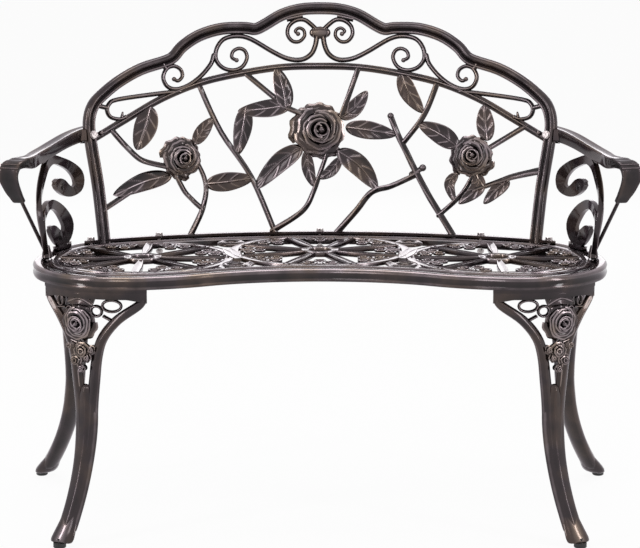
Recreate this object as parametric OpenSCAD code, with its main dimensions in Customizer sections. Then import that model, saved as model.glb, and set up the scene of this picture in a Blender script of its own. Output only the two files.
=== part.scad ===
// Garden bench for two, cast in aluminium: an openwork seat on four cabriole
// legs, two scrolled arms and a bowed back of roses and branches.
// Millimetres, +Z up, front towards -Y, origin on the ground at the middle.

/* [Seat] */
// Height of the seat's rim above the ground
seat_h = 425; // [405:5:445]
// Width of the rim that runs round the seat
rim_w = 44; // [38:1:48]
// Height of the rim's outer skirt
rim_h = 20; // [17:1:24]
// Thickness of the openwork inside the rim
lattice_t = 8; // [6:1:9]
// Radius of each of the three wheels in the seat
wheel_r = 143; // [138:1:146]
// Radius of the hole in the middle of each wheel
hub_hole = 18; // [14:1:21]

/* [Back] */
// Height of the back above the seat's rim
back_h = 395; // [370:5:410]
// Lean of the back from upright, in degrees
back_lean = 10; // [7:1:13]
// Width of the arched frame's bar
frame_w = 21; // [18:1:24]
// Depth of the arched frame's bar
frame_d = 18; // [15:1:20]
// Width of the branches
branch_w = 9; // [7:0.5:11]
// Depth of the branches and scrolls
branch_d = 9; // [7:0.5:11]
// Thickness of the flat rail that stands on the seat
rail_t = 4.5; // [3.5:0.5:6]
// Radius of the middle rose
rose_r = 47; // [40:1:50]

/* [Arms] */
// Width of the arm's rail, seen from above
arm_w = 26; // [22:1:30]
// Thickness of the arm's rail
arm_t = 17; // [14:1:20]
// Width of the bars of the arm's scrolls
scroll_w = 13; // [11:0.5:15]

/* [Legs] */
// Width of the lower leg at the ankle
ankle_w = 31; // [26:1:36]
// Thickness of the lower leg, front to back
leg_t = 15; // [12:1:18]
// Thickness of the flange under the rim
flange_t = 6; // [5:1:8]
// Diameter of the plastic glide under each foot
glide_d = 20; // [16:1:22]
// Height of the glide's foot
glide_h = 8; // [6:1:10]

/* [Fasteners] */
// Diameter of the bolts
bolt_d = 6; // [5:1:7]
// Room round a bolt in its hole
bolt_play = 0.5; // [0.3:0.1:0.8]

/* [Hidden] */

bronze = "#4a4143";
steel = "#6b6563";
black = "#1d1d1f";

// the seat's datum lies this far behind the middle of the footprint
datum_y = 37.4;
// half the seat's length, and its wheels: the two at the sides, which lap onto the
// rim, and the one in the middle
seat_half_l = 461;
rim_lap = 14;
side_wheel = [rim_w + wheel_r - rim_lap - seat_half_l, -2];
mid_wheel = [0, 66];
hub_r = hub_hole + 13;
// the back's face is bowed in plan about this radius
bow_r = 834;
back_y = 220;
// the arm stands on an arc about this point
arm_c = [-288, 5];
arm_r = 155;
arm_start = 121;
// arc that a leg's top follows under the rim (centre, radius, middle angle), how
// far its toe turns out and how far the whole leg rakes
front_leg = [[-300, -30], 156, 245.5, [-41, -40], [0, 0]];
rear_leg = [[-280, 0], 166, 142, [-64, 63], [-14, 30]];
head_d = bolt_d * 1.75;
head_h = bolt_d * 0.7;
hole_d = bolt_d + bolt_play;
// room round a bolt's head, washer or nut
room_d = head_d * 1.5 + 1;
rim_z = seat_h - rim_h;
// lug of the arm behind the back's upright, and the bolt there [across, up]
lug_t = 6.2;
arm_bolt = [-385, 179];
// how far the rib under a leg's flange hangs below the rim
rib_h = 17;
washer_t = 1.2;
// how far the end of a bolt stands out of its nut's inner face
bolt_end = bolt_d * 1.1;
foot_z = glide_h;

// Curves
function unit(v) = v / norm(v);
function last(v) = v[len(v) - 1];
// Catmull-Rom curve through the points, k steps between each pair
function cr(a, b, c, d, t) = 0.5 * (2 * b + (c - a) * t + (2 * a - 5 * b + 4 * c - d) * t * t
    + (3 * b - a - 3 * c + d) * t * t * t);
function smooth(p, k) = k <= 1 ? p : [
    for (i = [0 : len(p) - 2]) for (j = [0 : k - 1])
        cr(p[max(i - 1, 0)], p[i], p[i + 1], p[min(i + 2, len(p) - 1)], j / k),
    last(p)];
function loop_smooth(p, k) = let (n = len(p)) [
    for (i = [0 : n - 1]) for (j = [0 : k - 1])
        cr(p[(i + n - 1) % n], p[i], p[(i + 1) % n], p[(i + 2) % n], j / k)];
// the left half of a line and its mirror image, joined at x = 0
function both(p) = concat(p, [for (i = [len(p) - 2 : -1 : 0]) [-p[i][0], p[i][1], p[i][2]]]);
// spiral about c, from radius r0 at angle a0 to r1 at a1
function spiral(c, r0, r1, a0, a1, w0, w1, n) = [for (i = [0 : n])
    let (s = i / n, r = r0 + (r1 - r0) * s, a = a0 + (a1 - a0) * s)
        [c[0] + r * cos(a), c[1] + r * sin(a), w0 + (w1 - w0) * s]];

// Surfaces that the castings follow: a place on the surface, d proud of it
back_pt = function (x, z, d) let (q = sqrt(bow_r * bow_r - x * x),
        h = z <= 190 ? z : 190 + (z - 190) * (back_h - 190) / 205)
    [x, back_y - bow_r + q + h * tan(back_lean), seat_h + h]
    + d * unit([-x / q, -1, tan(back_lean)]);
arm_pt = function (u, z, d) let (a = arm_start + u / arm_r * 180 / PI,
        r = arm_r + (5 + 26 * pow((u - 110) / 100, 2)) * z / 160 + d)
    [arm_c[0] + r * cos(a), arm_c[1] + r * sin(a), seat_h + z];
// The legs' heights are given for a rim at drawn_rim_z: above fork_z the casting keeps
// its form under a higher or lower seat, and the lower leg takes up the difference
drawn_rim_z = 405;
fork_z = 200;
function leg_z(z) = z > fork_z ? rim_z - drawn_rim_z + z : z * (rim_z - drawn_rim_z + fork_z) / fork_z;
leg_pt = function (leg, a, z, d) let (t = leg[2] + a / leg[1] * 180 / PI, r = leg[1] + d,
        f = pow(max(0, 1 - z / 210), 2), k = 1 - z / rim_z)
    [leg[0][0] + r * cos(t) + leg[3][0] * f + leg[4][0] * k,
        leg[0][1] + r * sin(t) + leg[3][1] * f + leg[4][1] * k, z];

// Sections of the bars, one unit wide and one unit deep
bar = [[-0.5, -0.4], [-0.34, 0.45], [0.34, 0.45], [0.5, -0.4]];
rail_section = [[-0.5, -0.2], [-0.5, 0.2], [-0.25, 0.32], [0, 0.5], [0.25, 0.32],
    [0.5, 0.2], [0.5, -0.2], [0, -0.5]];
blade = [[-0.5, -0.1], [0, 0.5], [0.5, -0.1], [0, -0.4]];

// Rings of points joined into one closed solid
module loft(rings) {
    n = len(rings); m = len(rings[0]);
    polyhedron([for (r = rings) each r], [
        [for (j = [m - 1 : -1 : 0]) j],
        for (i = [0 : n - 2]) for (j = [0 : m - 1]) let (k = (j + 1) % m) each [
            [i * m + j, i * m + k, (i + 1) * m + k], [i * m + j, (i + 1) * m + k, (i + 1) * m + j]],
        [for (j = [0 : m - 1]) (n - 1) * m + j]]);
}

// A bar of section sec along the points [across, up, width] of the surface at
module along(at, p, depth, sec = bar, lift = 0) {
    n = len(p);
    loft([for (i = [0 : n - 1]) let (
            a = p[max(i - 1, 0)], b = p[min(i + 1, n - 1)], c = p[i],
            o = at(c[0], c[1], lift),
            up = unit(at(c[0], c[1], lift + 1) - o),
            t = unit(at(b[0], b[1], lift) - at(a[0], a[1], lift)),
            s = unit(cross(up, t)), v = cross(t, s))
        [for (q = sec) o + s * q[0] * c[2] + v * q[1] * depth]]);
}

// A leaf from its stalk to its tip, w wide, through the points p
module leaf(at, p, w, lift = 0) {
    q = smooth([for (c = p) [c[0], c[1], 0]], 2);
    n = len(q) - 1;
    along(at, [for (i = [0 : n]) [q[i][0], q[i][1], 1.5 + w * pow(sin(180 * pow(i / n, 0.85)), 0.8)]],
        7, blade, lift);
}

// A full-blown rose, r in radius and h deep, its petals in three lobed tiers
module rose(r, h, seg = 11, small = false) {
    tiers = small ? [[0.8, -0.5, 0], [1, 0.1, 0.1], [0.62, 0.2, 0.07], [0.52, 0.5, 0.05], [0.15, 0.7, 0]]
        : [[0.8, -0.5, 0], [1, 0.1, 0.1], [0.72, 0.15, 0.08], [0.64, 0.48, 0.08],
        [0.44, 0.3, 0.05], [0.36, 0.62, 0.05], [0.2, 0.45, 0.02], [0.12, 0.7, 0]];
    loft([for (k = [0 : len(tiers) - 1]) let (t = tiers[k])
        [for (j = [0 : seg - 1]) let (a = -360 * j / seg,
                g = t[0] - t[2] + t[2] * 2 * abs(cos(2.5 * a + 40 * floor((k + 1) / 2))))
            [r * g * cos(a), r * g * sin(a), h * t[1]]]]);
}

// Stands its children on the surface at a point, +Z outward
module on(at, u, z, turn = 0) {
    o = at(u, z, 0); n = unit(at(u, z, 1) - o);
    y = unit(cross(n, at(u + 1, z, 0) - o)); x = cross(y, n);
    multmatrix([[x[0], y[0], n[0], o[0]], [x[1], y[1], n[1], o[1]], [x[2], y[2], n[2], o[2]],
        [0, 0, 0, 1]]) rotate(turn) children();
}

module shift() translate([0, -datum_y, 0]) children();
module pair() { children(); mirror([1, 0, 0]) children(); }
module flip(right) mirror([right ? 1 : 0, 0, 0]) children();

// Places of the bolts, left side, in plan
back_bolt_x = [0, 275, 386];
function back_bolt(x) = [x, back_pt(x, 0, 0)[1]];
function arm_foot(u) = let (q = arm_pt(u, 0, 0)) [q[0], q[1]];
arm_foot_u = [70, 186];
arm_rear_foot = arm_foot(arm_foot_u[0]);
arm_stem_foot = arm_foot(arm_foot_u[1]);
function leg_hole(leg, a) = leg[0] + (leg[1] - 14) * [cos(leg[2] + a), sin(leg[2] + a)];
front_holes = [leg_hole(front_leg, -20), leg_hole(front_leg, 20)];
// heights of the plate on top of the rim and of the openwork
plate_t = 6;

// Outline of the seat, left half from front to back, then mirrored
seat_half = [[0, -124], [-50, -127], [-100, -136], [-150, -152], [-200, -176], [-250, -192],
    [-300, -200], [-350, -193], [-400, -165], [-440, -115], [-458, -60], [-461, -15],
    [-454, 35], [-438, 80], [-405, 130], [-352, 160], [-300, 180], [-250, 197], [-200, 211],
    [-150, 221], [-75, 231], [0, 234]];
module seat_outline() polygon(loop_smooth(concat(seat_half,
    [for (i = [len(seat_half) - 2 : -1 : 1]) [-seat_half[i][0], seat_half[i][1]]]), 2));
module rim_band(from, to) difference() {
    offset(delta = -from) seat_outline();
    offset(delta = -to) seat_outline();
}

// A spoke is a slender leaf from inside the hub to a point beyond the ring
spoke_w = 20;
spoke_in = hub_r / 2;
spoke_out = wheel_r + 28;
spoke_mid = (spoke_in + spoke_out) / 2;
spoke_half = (spoke_out - spoke_in) / 2;
spoke_bow = (spoke_half * spoke_half + spoke_w * spoke_w / 4) / spoke_w;
module ring2d(r, w, n = 24) difference() { circle(r, $fn = n); circle(r - w, $fn = n); }

// A wheel: hub, ring, eight spokes and three curls in each gap at the ring
module wheel2d() {
    for (k = [0 : 7]) rotate(45 * k) intersection() {
        translate([spoke_mid, spoke_bow - spoke_w / 2]) circle(spoke_bow, $fn = 96);
        translate([spoke_mid, spoke_w / 2 - spoke_bow]) circle(spoke_bow, $fn = 96);
        translate([spoke_in, -spoke_w]) square([wheel_r - spoke_in - 2, 2 * spoke_w]);
    }
    for (k = [0 : 7]) rotate(45 * k + 22.5) {
        for (s = [-1, 1]) translate([wheel_r - 24, 18.5 * s]) ring2d(18, 6);
        translate([wheel_r - 45, 0]) ring2d(12, 5);
    }
    ring2d(wheel_r + 6, 14, 72);
    circle(hub_r, $fn = 48);
}

// the middle wheel is turned by half a gap, so that it stands on two spokes
module wheels() {
    for (c = [side_wheel, right_wheel]) translate(c) children();
    translate(mid_wheel) rotate(22.5) children();
}

// webs of the openwork on the right: at the rim behind and in front of the middle
// wheel, with the holes in them
right_wheel = [-side_wheel[0], side_wheel[1]];
between = unit(right_wheel - mid_wheel);
web_back = mid_wheel + (wheel_r + 29) * [cos(29), sin(29)];
web_front = [135, -70];
module lattice2d() difference() {
    intersection() {
        offset(delta = -8) seat_outline();
        union() {
            wheels() wheel2d();
            for (s = [-1, 1]) scale([s, 1]) {
                translate(web_back) circle(26, $fn = 32);
                // from ring to ring, between two wheels
                hull() for (p = [mid_wheel + between * wheel_r, right_wheel - between * wheel_r])
                    translate(p) rotate(atan2(between[1], between[0])) square([12, 90], center = true);
                polygon([[104, -36], [150, -30], [170, -96], [116, -104]]);
            }
        }
    }
    wheels() circle(hub_hole, $fn = 32);
    for (s = [-1, 1]) scale([s, 1]) {
        translate(web_back) circle(9, $fn = 24);
        translate(web_front) circle(9, $fn = 24);
    }
}

// Bosses under the rim, round the bolts
boss_r = 8;
module bosses() {
    for (s = [-1, 1]) {
        for (x = back_bolt_x) translate([s * x, back_bolt(x)[1]]) circle(boss_r, $fn = 32);
        for (h = [arm_rear_foot, arm_stem_foot, each front_holes])
            translate([s * h[0], h[1]]) circle(boss_r, $fn = 32);
    }
}

module seat() color(bronze) shift() difference() {
    union() {
        // plate of the rim, its skirt and the two lips along its top
        translate([0, 0, seat_h - 2 - plate_t]) linear_extrude(plate_t) rim_band(0, rim_w);
        translate([0, 0, rim_z]) linear_extrude(rim_h - 3) rim_band(0, 6);
        translate([0, 0, rim_z + 7]) linear_extrude(rim_h - 10) rim_band(rim_w - 5, rim_w);
        translate([0, 0, seat_h - 5]) linear_extrude(5) rim_band(3, 16);
        translate([0, 0, seat_h - 5]) linear_extrude(5) rim_band(26, 40);
        translate([0, 0, seat_h - 1 - lattice_t]) linear_extrude(lattice_t) lattice2d();
        translate([0, 0, rim_z]) linear_extrude(rim_h - 3) bosses();
    }
    // bolt holes
    translate([0, 0, rim_z - 1]) {
        for (s = [-1, 1]) {
            for (h = [back_bolt(back_bolt_x[1]), back_bolt(back_bolt_x[2]), arm_rear_foot, arm_stem_foot])
                translate([s * abs(h[0]), h[1]]) cylinder(h = rim_h + 2, d = hole_d, $fn = 32);
            // the front legs' screws end inside the rim
            for (h = front_holes) translate([s * h[0], h[1]]) cylinder(h = rim_h - 3, d = hole_d, $fn = 32);
        }
        translate(back_bolt(0)) cylinder(h = rim_h + 2, d = hole_d, $fn = 32);
    }
}

// Left half of the arched frame's middle line, from the seat up to the crown
frame_half = [[-364, -4], [-374, 90], [-385, 160], [-389, 200], [-382, 228],
    [-364, 248], [-338, 268], [-304, 286], [-264, 298], [-250, 306], [-236, 322],
    [-208, 340], [-170, 351], [-130, 352], [-112, 350], [-96, 357], [-66, 374],
    [-34, 383], [0, 385]];
arch_half = [[-384, 171], [-328, 203], [-270, 235], [-205, 260],
    [-140, 274], [-70, 284], [0, 286]];

function sized(p, w) = [for (c = p) [c[0], c[1], w]];
// Thins a line of points towards its last one
function taper(p, w0, w1) = let (n = len(p) - 1)
    [for (i = [0 : n]) [p[i][0], p[i][1], w0 + (w1 - w0) * i / n]];

// A short web that joins two places on a surface
module link(at, a, b, w, h) hull() for (p = [a, b])
    on(at, p[0], p[1]) cylinder(h = h, d = w, center = true, $fn = 4);
module ball(at, p, d) on(at, p[0], p[1]) sphere(d = d, $fn = 6);
module branch(p, w0 = 1, w1 = 1) along(back_pt, taper(p, branch_w * w0, branch_w * w1), branch_d);

// The scrolls between the inner arch and the frame, left side
module back_scrolls() {
    w = branch_w * 0.9;
    // the curl beside the crown
    along(back_pt, taper([[-4, 346], [-14, 356], [-27, 365], [-42, 364], [-54, 354], [-56, 340], [-48, 329],
        [-36, 328], [-27, 337], [-28, 347], [-36, 351], [-43, 346], [-38, 341]], w, w * 0.6), branch_d);
    // the long S, from the knot down past the inner arch to the large curl
    along(back_pt, taper([[-5, 342], [-8, 322], [-16, 306], [-33, 297], [-56, 299], [-82, 311], [-120, 333],
        [-144, 338], [-166, 333], [-178, 317], [-179, 299], [-168, 285], [-150, 280], [-134, 286],
        [-126, 301], [-130, 313], [-140, 317], [-150, 312], [-152, 302], [-144, 297]],
        w * 1.1, w * 0.7), branch_d);
    // from the large curl to the small one
    along(back_pt, taper([[-183, 306], [-188, 291], [-206, 270], [-228, 255], [-248, 250], [-262, 256],
        [-268, 271], [-262, 285], [-250, 289], [-239, 283], [-236, 272], [-243, 264], [-250, 267]],
        w, w * 0.7), branch_d);
    // the low hook in the corner
    along(back_pt, taper([[-240, 246], [-280, 243], [-343, 236], [-357, 229], [-360, 218],
        [-354, 207], [-340, 203], [-330, 206]], w, w * 0.8), branch_d);
    along(back_pt, taper([[-337, 200], [-335, 214]], w, 2), 5);
    link(back_pt, [-58, 366], [-30, 372], 9, branch_d);
    link(back_pt, [-262, 283], [-268, 293], 9, branch_d);
    link(back_pt, [-358, 222], [-374, 227], 8, branch_d);
}

module branches() {
    branch([[-352, 185], [-337, 166], [-320, 147], [-300, 131], [-262, 120]]);
    branch([[-246, 104], [-232, 77], [-218, 61], [-202, 46]], 0.9, 0.9);
    branch([[-210, 124], [-199, 99], [-196, 75], [-200, 53], [-208, 31], [-223, 1]], 0.8, 1.1);
    branch([[-206, 252], [-170, 175], [-118, 97], [-77, 2]]);
    branch([[-126, 272], [-80, 234]]);
    branch([[-66, 219], [-30, 204]]);
    branch([[12, 136], [0, 103], [-10, 75], [-22, 49], [-42, 30], [-82, 6]], 0.8, 1.1);
    branch([[66, 282], [53, 245], [36, 200]]);
    branch([[122, 201], [136, 167], [151, 137], [166, 107], [185, 72], [204, 41], [229, 1]], 1.1, 1.2);
    branch([[200, 256], [187, 221], [172, 193], [145, 158]], 1.1, 1);
    branch([[168, 104], [124, 83], [98, 76], [82, 65], [62, 39], [28, 1]], 1, 1.2);
    branch([[158, 104], [177, 115]], 1, 0.9);
    branch([[285, 150], [348, 192]]);
    branch([[262, 80], [300, 95], [330, 107], [368, 118]], 0.8, 0.8);
    branch([[262, 105], [246, 77], [228, 57], [204, 35]], 0.9, 0.9);
    branch([[-370, 51], [-322, 81]]);
    ball(back_pt, [122, 202], branch_w * 1.2);
    ball(back_pt, [177, 115], branch_w * 1.3);
}

module leaves() {
    leaf(back_pt, [[-290, 222], [-299, 185], [-312, 150]], 36);
    leaf(back_pt, [[-216, 156], [-202, 178], [-184, 200]], 22);
    leaf(back_pt, [[-255, 104], [-300, 96], [-350, 76]], 27);
    leaf(back_pt, [[-197, 88], [-158, 91], [-115, 96]], 30);
    leaf(back_pt, [[-128, 218], [-134, 180], [-143, 135]], 30);
    leaf(back_pt, [[-50, 220], [-92, 214], [-142, 210]], 28);
    leaf(back_pt, [[-58, 212], [-64, 246], [-76, 284]], 30);
    leaf(back_pt, [[-30, 148], [-70, 122], [-113, 77]], 32);
    leaf(back_pt, [[-24, 142], [-20, 110], [-10, 80]], 20);
    leaf(back_pt, [[36, 130], [20, 108], [-2, 94]], 18);
    leaf(back_pt, [[34, 198], [60, 215], [82, 244]], 26);
    leaf(back_pt, [[44, 182], [86, 177], [132, 170]], 29);
    leaf(back_pt, [[30, 142], [68, 116], [99, 77]], 34);
    leaf(back_pt, [[140, 276], [153, 242], [178, 208]], 28);
    leaf(back_pt, [[236, 152], [208, 172], [170, 190]], 32);
    leaf(back_pt, [[286, 164], [283, 195], [281, 225]], 28);
    leaf(back_pt, [[322, 100], [304, 84], [280, 58]], 20);
    leaf(back_pt, [[236, 108], [223, 88], [232, 58]], 16);
    leaf(back_pt, [[268, 110], [270, 84], [238, 56]], 22);
}

// The flat rail that stands on the seat, under the back
rail_half_l = 13 - arm_bolt[0];
rail_w = 14;
module bottom_rail() translate([0, 0, seat_h]) linear_extrude(rail_t) intersection() {
    translate([0, back_y - bow_r]) difference() {
        circle(bow_r + rail_w / 2, $fn = 180);
        circle(bow_r - rail_w / 2, $fn = 180);
    }
    translate([-rail_half_l, 0]) square([2 * rail_half_l, back_y + rail_w]);
}

module backrest() color(bronze) shift() difference() {
    union() {
        bottom_rail();
        intersection() {
            union() {
                along(back_pt, both(sized(frame_half, frame_w)), frame_d, rail_section);
                along(back_pt, both(sized(arch_half, 12)), branch_d + 2);
                pair() back_scrolls();
                branches();
            }
            translate([-600, -100, seat_h]) cube([1200, 600, 600]);
        }
        link(back_pt, [-7, 343], [7, 343], 20, branch_d + 5);
        leaves();
        on(back_pt, -236, 133) rose(rose_r * 0.74, 22);
        on(back_pt, 0, 177, 30) rose(rose_r, 28);
        on(back_pt, 262, 138, 60) rose(rose_r * 0.78, 22);
    }
    for (s = [-1, 1]) for (x = back_bolt_x) translate([s * x, back_bolt(x)[1], seat_h - 1])
        cylinder(h = rail_t + 2, d = hole_d, $fn = 13);
    pair() on(back_pt, arm_bolt[0], arm_bolt[1])
        cylinder(h = frame_d + 20, d = hole_d, center = true, $fn = 13);
}

// Places along the arm's rail [along, up], from its end at the back to the front
arm_rail = [[4, 182], [28, 180], [58, 176], [94, 170], [132, 165], [168, 161], [196, 158]];
// the rail's end widens, rolls over and runs back down: [x, y, height, width]
arm_roll = [[-478, -58, 158, 30], [-488, -71, 153, 31], [-491, -77, 138, 30],
    [-485, -75, 118, 25], [-478, -69, 104, 19]];

// Routes of the arm's scrolls, each place with its width as a share of scroll_w
upper_scroll = [[184, 4, 1.2], [190, 32, 1.2], [197, 68, 1.1], [197, 96, 1.15], [189, 119, 1.2],
    [172, 136, 1.2], [148, 147, 1.15], [115, 150, 1.1], [85, 144, 1.1], [58, 133, 1.3], [39, 116, 1.7],
    [39, 98, 1.5], [54, 90, 1.1], [70, 94, 1.6], [84, 102, 1.9], [98, 108, 1.5], [106, 110, 0.6]];
lower_scroll = [[180, 4, 1.1], [181, 30, 1.2], [176, 54, 1.3], [160, 70, 1.3], [131, 79, 1.15],
    [104, 71, 1.3], [84, 55, 1.7], [73, 36, 1.9], [82, 18, 1.8], [101, 18, 2], [119, 30, 1.8], [131, 37, 1.2],
    [137, 40, 0.5]];

module arm(right) color(bronze) shift() flip(right) difference() {
    rail = [for (p = arm_rail) arm_pt(p[0], p[1], 0)];
    roll = [for (p = arm_roll) [p[0], p[1], seat_h + p[2]]];
    line = concat(rail, roll);
    n = len(rail);
    union() {
        // the rail, its width level and turned square to the front at the roll
        loft([for (i = [0 : len(line) - 1]) let (
                t = unit(line[min(i + 1, len(line) - 1)] - line[max(i - 1, 0)]),
                out = i < n ? unit(cross([0, 0, 1], t)) : unit([0.97, -0.24, 0]),
                up = cross(t, out),
                w = i < n ? arm_w : arm_roll[i - n][3],
                h = i < n ? arm_t + 4 * max(0, 1 - i / 3) : max(7, arm_t - 5 * (i - n + 1)))
            [for (q = rail_section) line[i] + out * q[0] * w + up * (q[1] * h)]]);
        // the upper scroll and its stem, which ends in a bulb
        along(arm_pt, [for (p = upper_scroll) [p[0], p[1], p[2] * scroll_w]], branch_d + 1);
        // the lower scroll, whose heavy curl stands on the rim
        along(arm_pt, [for (p = lower_scroll) [p[0], p[1], p[2] * scroll_w]], branch_d + 1);
        // webs to the rail and between the scrolls
        link(arm_pt, [104, 160], [152, 156], 15, branch_d);
        link(arm_pt, [184, 62], [195, 62], 12, branch_d);
        // thin strut from the end of the roll to the foot of the stem
        for (k = [0 : 3]) hull() for (j = [k, k + 1])
            translate(arm_pt(187, 8, 0) + (roll[4] + [2, 2, 2] - arm_pt(187, 8, 0)) * j / 4)
                cube([5, 8 - j / 2, 6], center = true);
        hull() for (z = [3, 20]) translate(arm_pt(186, z, 0)) cylinder(h = 4, d = 17 - z / 4, $fn = 6);
        hull() for (u = [70, 112]) translate(arm_pt(u, 0, 0)) cylinder(h = 8, d = 18, $fn = 6);
        // lug behind the back's upright
        on(back_pt, arm_bolt[0], arm_bolt[1]) translate([0, 0, -frame_d / 2 - lug_t]) {
            translate([-16, -13, 0]) cube([27, 26, lug_t - 0.2]);
            translate([-24, -9, 0]) cube([11, 18, frame_d / 2 + 10]);
        }
    }
    translate([-600, -200, seat_h - 20]) cube([400, 600, 20]);
    for (u = arm_foot_u) translate([arm_foot(u)[0], arm_foot(u)[1], seat_h - 1])
        cylinder(h = 12, d = hole_d, $fn = 13);
    on(back_pt, arm_bolt[0], arm_bolt[1]) {
        cylinder(h = frame_d + 30, d = hole_d, center = true, $fn = 13);
        translate([0, 0, -frame_d / 2 - lug_t - 25]) cylinder(h = 25, d = room_d, $fn = 8);
        translate([0, 0, frame_d / 2]) cylinder(h = washer_t + head_h + 2, d = room_d, $fn = 8);
    }
    // room for the upright that the arm's end meets
    along(back_pt, sized([for (p = frame_half) if (p[1] > 80 && p[1] < 240) p], frame_w + 0.4),
        frame_d + 0.4, [[-0.5, -0.5], [-0.5, 0.5], [0.5, 0.5], [0.5, -0.5]]);
}

// A short web between two places on a leg
module leg_link(at, a, b, w, h = 8) hull() for (p = [a, b])
    on(at, p[0], p[1]) cylinder(h = h, d = w, center = true, $fn = 4);
// A ring of the openwork at a leg's top, at p, rx wide and rz high from its middle
module leg_ring(at, p, rx, rz, tilt = 0) along(at, [for (i = [0 : 5])
    let (c = rx * cos(72 * i), s = rz * sin(72 * i))
    [p[0] + c * cos(tilt) - s * sin(tilt), p[1] + c * sin(tilt) + s * cos(tilt), 4.5]], 6, blade);

// Band under the rim that a leg's top follows, in plan, a degrees to each side
module leg_flange(leg, from, to, a) translate(leg[0]) for (i = [0 : 3]) hull() for (j = [i, i + 1])
    rotate(leg[2] - a + a * j / 2) translate([leg[1] + from, 0]) square([to - from, 0.01]);

module leg(leg, holes, right) color(bronze) shift() flip(right) difference() {
    at = function(a, z, d) leg_pt(leg, a, leg_z(z), d);
    union() {
        translate([0, 0, rim_z - flange_t]) linear_extrude(flange_t) leg_flange(leg, -22, 6, 30);
        translate([0, 0, rim_z - rib_h]) linear_extrude(rib_h - 5) leg_flange(leg, -5, 5, 29);
        // the lower leg, ribbed along its front, from the toe to the fork
        w = ankle_w;
        along(at, [[0, -6, w + 9], [0, 14, w + 7], [0, 34, w + 1], [0, 60, w], [0, 120, w + 2],
            [0, 200, w + 7], [0, 232, w + 3], [0, 248, w / 2]], leg_t, rail_section);
        // the two struts of the fork, up to the ends of the flange
        for (s = [-1, 1]) along(at, [for (p = [[9, 196, 20], [11, 225, 19], [15, 258, 18], [20.5, 298, 17],
            [31, 328, 16], [50, 356, 15], [73, 378, 14], [80, 390, 12]])
            [s * p[0], p[1], p[2]]], leg_t - 3);
        // the rose, the hood over it, and the rings and buds round it
        on(at, -8, 350, 20) rose(29, 20, 10, true);
        on(at, -2, 306) rose(13, 14, 6, true);
        on(at, -13, 290, 30) rose(10, 12, 5, true);
        leaf(at, [[-28, 381], [-6, 388], [16, 379]], 15);
        leg_ring(at, [21, 369], 9, 8);
        leg_ring(at, [46, 378], 15, 9, -10);
        leg_ring(at, [-45, 381], 6, 8);
        leg_link(at, [-12, 318], [-34, 324], 7);
        leg_link(at, [4, 304], [24, 310], 7);
        leg_link(at, [-9, 248], [-12, 286], 12);
    }
    translate([-700, -400, -20]) cube([700, 800, 20 + foot_z]);
    leg_holes(holes);
    // hole for the glide's stem
    translate([at(0, 0, 0)[0], at(0, 0, 0)[1], foot_z - 1])
        cylinder(h = 10, d = glide_d * 0.4 + 0.4, $fn = 13);
}
// A leg's bolt holes, with room for the heads and nuts beside the rib
module leg_holes(holes) for (h = holes) translate([h[0], h[1], rim_z - flange_t]) {
    cylinder(h = flange_t + 1, d = hole_d, $fn = 13);
    translate([0, 0, flange_t - rib_h - 1]) cylinder(h = rib_h + 1 - flange_t, d = room_d, $fn = 8);
}
rear_holes = [back_bolt(-back_bolt_x[2]), arm_rear_foot];

module glide(leg, right) color(black) shift() flip(right) {
    p = leg_pt(leg, 0, 0, 0);
    translate([p[0], p[1], 0]) {
        cylinder(h = 1.5, d1 = glide_d - 3, d2 = glide_d, $fn = 40);
        translate([0, 0, 1.5]) cylinder(h = glide_h - 1.5, d = glide_d, $fn = 40);
        cylinder(h = glide_h + 7, d = glide_d * 0.4, $fn = 32);
    }
}

// Fasteners, each with its head or nut up against what it holds
module hex_head(d, h, bore = 0) difference() {
    intersection() {
        cylinder(h = h, d = d * 1.155, $fn = 6);
        translate([0, 0, -h]) cylinder(h = 2 * h, d1 = d * 1.6, d2 = d * 1.02, $fn = 32);
    }
    if (bore > 0) translate([0, 0, -1]) cylinder(h = h + 2, d = bore, $fn = 32);
}
// bolt standing on z = 0 with its head up and a shank len long below
module bolt(len) {
    translate([0, 0, -len]) cylinder(h = len + 0.01, d = bolt_d, $fn = 32);
    cylinder(h = washer_t, d = head_d * 1.25, $fn = 40);
    translate([0, 0, washer_t]) hex_head(head_d, head_h);
}
module nut() rotate([180, 0, 0]) hex_head(head_d, bolt_d * 0.8, bolt_d + 0.1);

// Height of what each bolt's nut is drawn up against
function back_nut_z(x) = x > 300 ? rim_z - flange_t : rim_z;
module back_bolts() color(steel) shift() for (x = back_bolt_x) for (s = x == 0 ? [1] : [-1, 1])
    translate([s * x, back_bolt(x)[1], seat_h + rail_t]) bolt(seat_h + rail_t - back_nut_z(x) + bolt_end);
module back_nuts() color(steel) shift() for (x = back_bolt_x) for (s = x == 0 ? [1] : [-1, 1])
    translate([s * x, back_bolt(x)[1], back_nut_z(x)]) nut();
module leg_bolts() color(steel) shift() pair() for (h = front_holes)
    translate([h[0], h[1], rim_z - flange_t - washer_t]) rotate([180, 0, 0]) bolt(flange_t + 13);
module leg_washers() color(steel) shift() pair() for (h = front_holes)
    translate([h[0], h[1], rim_z - flange_t - washer_t]) difference() {
        cylinder(h = washer_t, d = head_d * 1.5, $fn = 40);
        translate([0, 0, -1]) cylinder(h = 4, d = hole_d, $fn = 32);
    }
module arm_leg_bolts() color(steel) shift() pair()
    translate([arm_rear_foot[0], arm_rear_foot[1], rim_z - flange_t]) rotate([180, 0, 0])
        bolt(flange_t + rim_h + 9);
module arm_stem_screws() color(steel) shift() pair()
    translate([arm_stem_foot[0], arm_stem_foot[1], rim_z]) rotate([180, 0, 0]) bolt(rim_h + 9);
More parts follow.
